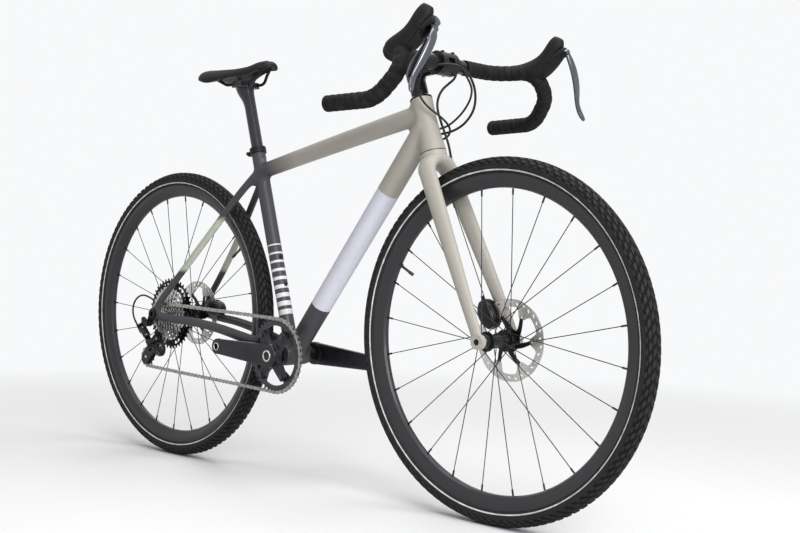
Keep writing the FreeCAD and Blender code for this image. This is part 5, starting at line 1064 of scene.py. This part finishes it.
def calm_normals(mesh, rounds):
    """Vertex normals averaged with their neighbours', so a grazing light shows no facets."""
    normals = [v.normal.copy() for v in mesh.vertices]
    edges = [tuple(e.vertices) for e in mesh.edges]
    for _ in range(rounds):
        sums = [n.copy() for n in normals]
        for a, b in edges:
            sums[a] += normals[b]
            sums[b] += normals[a]
        normals = [n.normalized() for n in sums]
    return normals


def surface_of(node):
    mesh = nodes[node].data
    return BVHTree.FromPolygons([v.co for v in mesh.vertices], [p.vertices for p in mesh.polygons])


def frame_skin():
    skin = merged("frame_skin", FRAME_TUBES, warm_paint)
    for ease in (JOINT_EASE, -JOINT_EASE):
        voxels(skin, SKIN_VOXEL)
        ironed(skin, JOINT_ROUNDS)
        swell(skin, ease)
    ironed(skin, SKIN_ROUNDS)
    thinner = skin.modifiers.new("thinner", "DECIMATE")
    thinner.ratio = SKIN_SHARE
    apply_modifiers(skin)
    mesh = skin.data
    trees = [surface_of(node) for node in FRAME_TUBES]
    normals = calm_normals(mesh, NORMAL_ROUNDS)
    groups = [[] for _ in trees]
    for face in mesh.polygons:
        near = [tree.find_nearest(face.center)[3] for tree in trees]
        groups[near.index(min(near))].append(tuple(face.vertices))
    for (node, (paint, slot_name)), group in zip(FRAME_TUBES.items(), groups):
        used = sorted({i for face in group for i in face})
        place = {old: new for new, old in enumerate(used)}
        faces = [[place[i] for i in face] for face in group]
        part = piece(node + "_skin", [mesh.vertices[i].co for i in used], faces, [paint])
        part.data.normals_split_custom_set_from_vertices([normals[i] for i in used])
        settle(part, "frame", node)
    bpy.data.objects.remove(skin)


frame_skin()


# Small turned and flat pieces

BOLT_STEPS = 24
BOLT_SHARES = ((1.0, -1.0), (1.0, 0.7), (0.88, 1.0), (0.56, 1.0), (0.5, 0.35), (0.0, 0.35))
# Radius and half height of each bolt's head
BOSS_BOLT = (0.0042, 0.0024)
MOUNT_BOLT = (0.0036, 0.0030)
CLAMP_BOLT = (0.0030, 0.0016)
LINK_BOLT = (0.0026, 0.0012)
CLUTCH_BOLT = (0.0020, 0.0012)
PULLEY_BOLT = (0.0036, 0.0010)
BOSS_INSET = 0.0045
BLOCK_FACES = ((0, 1, 3, 2), (4, 6, 7, 5), (0, 4, 5, 1), (2, 3, 7, 6), (0, 2, 6, 4), (1, 5, 7, 3))


def joined(name, parts):
    """Several meshes as one piece that keeps their materials."""
    mesh = bmesh.new()
    materials = []
    for part in parts:
        first = len(mesh.faces)
        mesh.from_mesh(part.data)
        mesh.faces.ensure_lookup_table()
        for face in mesh.faces[first:]:
            face.material_index += len(materials)
        materials += list(part.data.materials)
        bpy.data.objects.remove(part)
    data = bpy.data.meshes.new(name)
    mesh.to_mesh(data)
    mesh.free()
    for material in materials:
        data.materials.append(material)
    return linked(name, data)


def socket_bolt(place, axis, size, material):
    outline = [(size[0] * wide, size[1] * high) for wide, high in BOLT_SHARES]
    return lathe("bolt", place, axis, outline, material, BOLT_STEPS)


def rounded_block(name, centre, axes, half, radius, material):
    """Block along three axes with rounded edges."""
    corners = [centre + axes[0] * (a * half[0]) + axes[1] * (b * half[1]) + axes[2] * (c * half[2])
               for a in (-1, 1) for b in (-1, 1) for c in (-1, 1)]
    obj = outward(piece(name, corners, BLOCK_FACES, [material], smooth=False))
    bevel = obj.modifiers.new("bevel", "BEVEL")
    bevel.width = radius
    bevel.segments = 3
    return apply_modifiers(obj)


def polar(radius, angle):
    return (radius * math.cos(angle), radius * math.sin(angle))


def turned(x, z, angle):
    return (x * math.cos(angle) - z * math.sin(angle), x * math.sin(angle) + z * math.cos(angle))


def plate(name, loops, thick, axle, y, material, edge=0.00025):
    """Flat piece in the wheel's plane; the first loop is its outline and the rest are holes."""
    data = bpy.data.curves.new(name, "CURVE")
    data.dimensions = "2D"
    data.fill_mode = "BOTH"
    data.extrude = thick / 2 - edge
    data.bevel_depth = edge
    data.bevel_resolution = 1
    for loop in loops:
        spline = data.splines.new("POLY")
        spline.points.add(len(loop) - 1)
        for control, (x, z) in zip(spline.points, loop):
            control.co = (x, z, 0.0, 1.0)
        spline.use_cyclic_u = True
    obj = linked(name, data)
    mesh = curve_mesh(obj)
    bpy.data.objects.remove(obj)
    vertices = [(axle.x + v.co.x, y + v.co.z, axle.z + v.co.y) for v in mesh.vertices]
    faces = [tuple(p.vertices) for p in mesh.polygons]
    return outward(piece(name, vertices, faces, [material], smooth=False))


def bottle_bolts():
    for mount in frame["record"]["mounts"]:
        if "_boss_" in mount["name"]:
            axis = Vector(mount["axis"])
            place = Vector(mount["pos_m"]) + axis * BOSS_INSET
            bolt = socket_bolt(place, axis, BOSS_BOLT, bolt_black)
            bolt.name = mount["name"] + "_bolt"
            settle(bolt, "frame")


bottle_bolts()


# Disc rotors: a pierced steel ring riveted to a spider with swept arms

FRONT_ROTOR_Y = 0.0395
REAR_ROTOR_Y = 0.0557
ROTOR_ARMS = 6
ROTOR_OUTER = 0.0798
ROTOR_WAVE = 0.0004
ROTOR_TRACK = 0.0650
ROTOR_TAB = 0.0480
ROTOR_BORE = 0.0172
BORE_STEPS = 48
TAB_HALF = math.radians(12.0)
TRACK_STEPS = 240
TRACK_THICK = 0.0018
ROTOR_HOLES = 30
HOLE_CIRCLE = 0.0724
HOLE_STAGGER = 0.0012
HOLE_LEAN = math.radians(58.0)
HOLE_HALF = (0.0040, 0.0020)
HOLE_STEPS = 16
SPIDER_ROOT = 0.0235
SPIDER_TIP = 0.0540
SPIDER_SWEEP = math.radians(24.0)
SPIDER_STEPS = 12
SPIDER_HALF = (0.0062, -0.0052, 0.0030)
SPIDER_THICK = 0.0021
RIVET_CIRCLE = 0.0512
RIVET_PROFILE = ((0.0031, -0.0012), (0.0031, 0.0009), (0.0024, 0.0012), (0.0, 0.0012))
LOCKRING_AWAY = 0.0011
LOCKRING_PROFILE = ((0.0173, 0.0), (0.0212, 0.0), (0.0212, 0.0030), (0.0196, 0.0046), (0.0104, 0.0046),
                    (0.0104, 0.0028), (0.0173, 0.0026))


def track_loops():
    arms = [FULL_TURN * k / ROTOR_ARMS for k in range(ROTOR_ARMS)]
    outer = []
    inner = []
    for k in range(TRACK_STEPS):
        a = FULL_TURN * k / TRACK_STEPS
        off = min(abs(math.remainder(a - arm, FULL_TURN)) for arm in arms)
        tab = math.exp(-(off / TAB_HALF) ** 4)
        outer.append(polar(ROTOR_OUTER - ROTOR_WAVE * (1 + math.cos(2 * ROTOR_ARMS * a)), a))
        inner.append(polar(ROTOR_TRACK - (ROTOR_TRACK - ROTOR_TAB) * tab, a))
    loops = [outer, inner[::-1]]
    for k in range(ROTOR_HOLES):
        a = FULL_TURN * (k + 0.5) / ROTOR_HOLES
        cx, cz = polar(HOLE_CIRCLE + (HOLE_STAGGER if k % 2 else -HOLE_STAGGER), a)
        hole = []
        for j in range(HOLE_STEPS):
            b = FULL_TURN * j / HOLE_STEPS
            x, z = turned(HOLE_HALF[0] * math.cos(b), HOLE_HALF[1] * math.sin(b), a + HOLE_LEAN)
            hole.append((cx + x, cz + z))
        loops.append(hole)
    return loops


def spider_loops():
    outline = []
    for k in range(ROTOR_ARMS):
        tip = FULL_TURN * k / ROTOR_ARMS
        flank = []
        for j in range(SPIDER_STEPS + 1):
            t = j / SPIDER_STEPS
            radius = SPIDER_ROOT + (SPIDER_TIP - SPIDER_ROOT) * t
            half = SPIDER_HALF[0] + SPIDER_HALF[1] * t + SPIDER_HALF[2] * t * t
            flank.append((radius, tip - SPIDER_SWEEP * (1 - t) ** 1.5, half / radius))
        outline += [polar(r, a - w) for r, a, w in flank]
        outline += [polar(r, a + w) for r, a, w in reversed(flank)]
    bore = [polar(ROTOR_BORE, -FULL_TURN * k / BORE_STEPS) for k in range(BORE_STEPS)]
    return [outline, bore]


def build_rotor(node, axle, body, y, track_steel):
    middle = axle + ACROSS * y
    parts = [
        plate("track", track_loops(), TRACK_THICK, axle, y, track_steel),
        plate("spider", spider_loops(), SPIDER_THICK, axle, y, bolt_black),
    ]
    for k in range(ROTOR_ARMS):
        x, z = polar(RIVET_CIRCLE, FULL_TURN * k / ROTOR_ARMS)
        parts.append(lathe("rivet", middle + Vector((x, 0.0, z)), ACROSS, RIVET_PROFILE, steel, around=20))
    face = middle + ACROSS * LOCKRING_AWAY
    parts.append(lathe("lockring", face, ACROSS, LOCKRING_PROFILE, hub_black, around=48, ring=True))
    settle(joined(node + "_disc", parts), body, node)


build_rotor("front_rotor", FRONT, "front_wheel", FRONT_ROTOR_Y, front_rotor_steel)
build_rotor("rear_rotor", REAR, "rear_wheel", REAR_ROTOR_Y, rear_rotor_steel)


# Brake calipers: moulded bodies with caps, bolts, fins and a hose fitting

BLADE_DOWN = Vector((0.4470, 0.0, -0.8945)).normalized()
BLADE_BACK = Vector((BLADE_DOWN.z, 0.0, -BLADE_DOWN.x))
STAY_ALONG = Vector((1.0, 0.0, -0.13)).normalized()
FRONT_CALIPER = FRONT - BLADE_DOWN * 0.066 + BLADE_BACK * 0.026 + ACROSS * FRONT_ROTOR_Y
REAR_CALIPER = REAR + Vector((0.072, REAR_ROTOR_Y, 0.016))
CALIPER_VOXEL = 0.0009
CALIPER_ROUNDS = 4
CALIPER_SIDE = 0.0133
CALIPER_TOP = 0.0115
CALIPER_BOLTS = 0.0225
MOUNT_BOLT_SIDE = 0.0088
CLAMP_BOLT_TOP = -0.002
FITTING_ALONG = 0.028
FITTING_TOP = 0.002
BLEED_ALONG = 0.012
BLEED_SIDE = 0.0085
CAP_PROFILE = ((0.0096, -0.001), (0.0096, 0.0010), (0.0088, 0.0018), (0.0058, 0.0018), (0.0052, 0.0008),
               (0.0, 0.0008))
FITTING_PROFILE = ((0.0042, -0.004), (0.0042, 0.004), (0.0034, 0.0052), (0.0034, 0.0105), (0.0028, 0.0115),
                   (0.0, 0.0115))
BLEED_PROFILE = ((0.0022, -0.002), (0.0022, 0.0036), (0.0030, 0.0040), (0.0030, 0.0066), (0.0, 0.0070))
FIN_COUNT = 5
FIN_FIRST = -0.0072
FIN_PITCH = 0.0036
FIN_SIDE = 0.0056
FIN_TOP = 0.0145
FIN_HALF = (0.0007, 0.0028, 0.0042)
FIN_EDGE = 0.0004


def build_caliper(node, body, centre, along, hose_end):
    out = Vector((along.z, 0.0, -along.x))

    def at(a, b, c):
        return centre + along * a + ACROSS * b + out * c

    parts = [softened(node + "_body", node, caliper_black, CALIPER_VOXEL, CALIPER_ROUNDS)]
    for side in (-1, 1):
        cap = at(0.0, side * CALIPER_SIDE, 0.0)
        parts.append(lathe("cap", cap, ACROSS * side, CAP_PROFILE, bolt_black, around=32))
        mounting = at(side * CALIPER_BOLTS, MOUNT_BOLT_SIDE, CALIPER_TOP)
        parts.append(socket_bolt(mounting, out, MOUNT_BOLT, bolt_black))
        clamping = at(side * CALIPER_BOLTS, CALIPER_SIDE, CLAMP_BOLT_TOP)
        parts.append(socket_bolt(clamping, ACROSS, CLAMP_BOLT, steel))
    for k in range(FIN_COUNT):
        for side in (-1, 1):
            place = at(FIN_FIRST + FIN_PITCH * k, side * FIN_SIDE, FIN_TOP)
            parts.append(rounded_block("fin", place, (along, ACROSS, out), FIN_HALF, FIN_EDGE, grey_alloy))
    fitting = at(hose_end * FITTING_ALONG, 0.0, FITTING_TOP)
    parts.append(lathe("fitting", fitting, along * hose_end, FITTING_PROFILE, bolt_black, around=24))
    bleed = at(-hose_end * BLEED_ALONG, BLEED_SIDE, CALIPER_TOP)
    parts.append(lathe("bleed", bleed, out, BLEED_PROFILE, steel, around=18))
    settle(joined(node + "_detail", parts), body, node)


build_caliper("front_brake_caliper", "steering", FRONT_CALIPER, BLADE_DOWN, -1)
build_caliper("rear_brake_caliper", "frame", REAR_CALIPER, STAY_ALONG, 1)


# Cranks with rounded edges, axle caps and pedal eyes

CRANK_VOXEL = 0.0010
CRANK_ROUNDS = 6
CRANK_FACE_Y = 0.0760
PEDAL_EYE_Y = 0.0820
EYE_PROFILE = ((0.0072, -0.0030), (0.0092, -0.0030), (0.0092, 0.0003), (0.0088, 0.0006), (0.0076, 0.0006),
               (0.0072, 0.0003))
AXLE_CAP_PROFILE = ((0.0092, -0.001), (0.0092, 0.0004), (0.0050, 0.0004), (0.0046, -0.0006), (0.0, -0.0006))
AXLE_RIM_PROFILE = ((0.0092, -0.001), (0.0128, -0.001), (0.0128, 0.0010), (0.0122, 0.0016), (0.0097, 0.0016),
                    (0.0092, 0.0011))


def build_cranks():
    for word, side in (("right", -1), ("left", 1)):
        node = word + "_crank_arm"
        mount = next(m for m in frame["record"]["mounts"] if m["name"] == word + "_pedal_thread")
        eye = Vector((mount["pos_m"][0], side * PEDAL_EYE_Y, mount["pos_m"][2]))
        face = BRACKET + ACROSS * side * CRANK_FACE_Y
        outside = ACROSS * side
        parts = [
            softened(node + "_body", node, crank_black, CRANK_VOXEL, CRANK_ROUNDS),
            lathe("eye", eye, outside, EYE_PROFILE, steel, around=32, ring=True),
            lathe("cap", face, outside, AXLE_CAP_PROFILE, bolt_black, around=36),
            lathe("rim", face, outside, AXLE_RIM_PROFILE, steel, around=40, ring=True),
        ]
        settle(joined(node + "_detail", parts), "crank", node)


build_cranks()


# Derailleur covers: link plate, clutch housing and outer cage plate

LINK_TOP = Vector((-0.55707, -0.07378, 0.31324))
LINK_BOTTOM = Vector((-0.5, -0.0894, 0.284))
LINK_PIN = Vector((0.446518, 0.766044, 0.462383))
LINK_BLOCKS = (
    # name, lift, half sizes, edge radius, material
    ("cover", 0.0080, (0.0215, 0.0092, 0.0020), 0.0018, caliper_black),
    ("rib", 0.0100, (0.0165, 0.0030, 0.0012), 0.0010, bolt_black),
    ("web", 0.0042, (0.0170, 0.0050, 0.0028), 0.0008, bolt_black),
)
LINK_BOLTS = 0.0165
LINK_BOLT_LIFT = 0.0100
CAGE_PIVOT = Vector((-0.485, 0.0, 0.271))
GUIDE = Vector((-0.505, 0.0, 0.287))
TENSION = Vector((-0.546336, 0.0, 0.240791))
CLUTCH_AWAY = Vector((0.0076, 0.0, -0.0065))
CLUTCH_INNER_Y = -0.0690
CLUTCH_PROFILE = ((0.0150, 0.0), (0.0172, 0.0012), (0.0178, 0.0050), (0.0172, 0.0105), (0.0150, 0.0135),
                  (0.0128, 0.0142), (0.0120, 0.0132), (0.0062, 0.0132), (0.0055, 0.0146), (0.0, 0.0146))
CLUTCH_BOLTS = 3
CLUTCH_BOLT_CIRCLE = 0.0145
CLUTCH_BOLT_FIRST = math.radians(40.0)
CLUTCH_BOLT_Y = -0.0134
SWITCH_PLACE = Vector((0.0085, -0.0150, -0.0085))
SWITCH_AXES = (Vector((0.7071, 0.0, -0.7071)), ACROSS, Vector((0.7071, 0.0, 0.7071)))
SWITCH_HALF = (0.0062, 0.0016, 0.0026)
SWITCH_EDGE = 0.0010
CAGE_COVER_Y = -0.06745
CAGE_COVER_THICK = 0.0016
PULLEY_BOLT_AWAY = 0.0006
CAGE_COVER_STEPS = 72
CAGE_TOP_RADIUS = 0.0085
CAGE_RADIUS_GAIN = 0.0110
WINDOW_STEPS = 40
WINDOW_PLACE = 0.47
WINDOW_HALF = (0.0125, 0.0070)


def link_cover():
    along = (LINK_BOTTOM - LINK_TOP).normalized()
    outer = along.cross(LINK_PIN).normalized()
    if outer.y > 0:
        outer = -outer
    middle = (LINK_TOP + LINK_BOTTOM) / 2
    axes = (along, LINK_PIN, outer)
    parts = [rounded_block(name, middle + outer * lift, axes, half, radius, material)
             for name, lift, half, radius, material in LINK_BLOCKS]
    for end in (-1, 1):
        place = middle + along * (end * LINK_BOLTS) + outer * LINK_BOLT_LIFT
        parts.append(socket_bolt(place, outer, LINK_BOLT, steel))
    settle(joined("derailleur_link_cover", parts), "outer_link")


def clutch_cover():
    centre = CAGE_PIVOT + CLUTCH_AWAY + ACROSS * CLUTCH_INNER_Y
    parts = [lathe("drum", centre, -ACROSS, CLUTCH_PROFILE, caliper_black, around=44)]
    for k in range(CLUTCH_BOLTS):
        x, z = polar(CLUTCH_BOLT_CIRCLE, CLUTCH_BOLT_FIRST + FULL_TURN * k / CLUTCH_BOLTS)
        parts.append(socket_bolt(centre + Vector((x, CLUTCH_BOLT_Y, z)), -ACROSS, CLUTCH_BOLT, steel))
    switch = centre + SWITCH_PLACE
    parts.append(rounded_block("switch", switch, SWITCH_AXES, SWITCH_HALF, SWITCH_EDGE, dark_alloy))
    settle(joined("derailleur_clutch_housing", parts), "cage_knuckle")


def cage_cover():
    """Egg-shaped plate outside the pulleys, with a window between them."""
    turn = math.atan2(TENSION.z - GUIDE.z, TENSION.x - GUIDE.x)
    span = (TENSION - GUIDE).length
    outline = []
    for k in range(CAGE_COVER_STEPS):
        a = FULL_TURN * k / CAGE_COVER_STEPS
        radius = CAGE_TOP_RADIUS + CAGE_RADIUS_GAIN * (0.5 + 0.5 * math.cos(a))
        foot = span if math.cos(a) > 0 else 0.0
        outline.append(turned(foot + radius * math.cos(a), radius * math.sin(a), turn))
    window = []
    for k in range(WINDOW_STEPS):
        a = -FULL_TURN * k / WINDOW_STEPS
        x = span * WINDOW_PLACE + WINDOW_HALF[0] * math.cos(a)
        window.append(turned(x, WINDOW_HALF[1] * math.sin(a), turn))
    parts = [plate("cover", [outline, window], CAGE_COVER_THICK, GUIDE, CAGE_COVER_Y, caliper_black)]
    for pin in (GUIDE, TENSION):
        place = pin + ACROSS * (CAGE_COVER_Y - PULLEY_BOLT_AWAY)
        parts.append(socket_bolt(place, -ACROSS, PULLEY_BOLT, steel))
    settle(joined("derailleur_cage_cover", parts), "cage")


link_cover()
clutch_cover()
cage_cover()
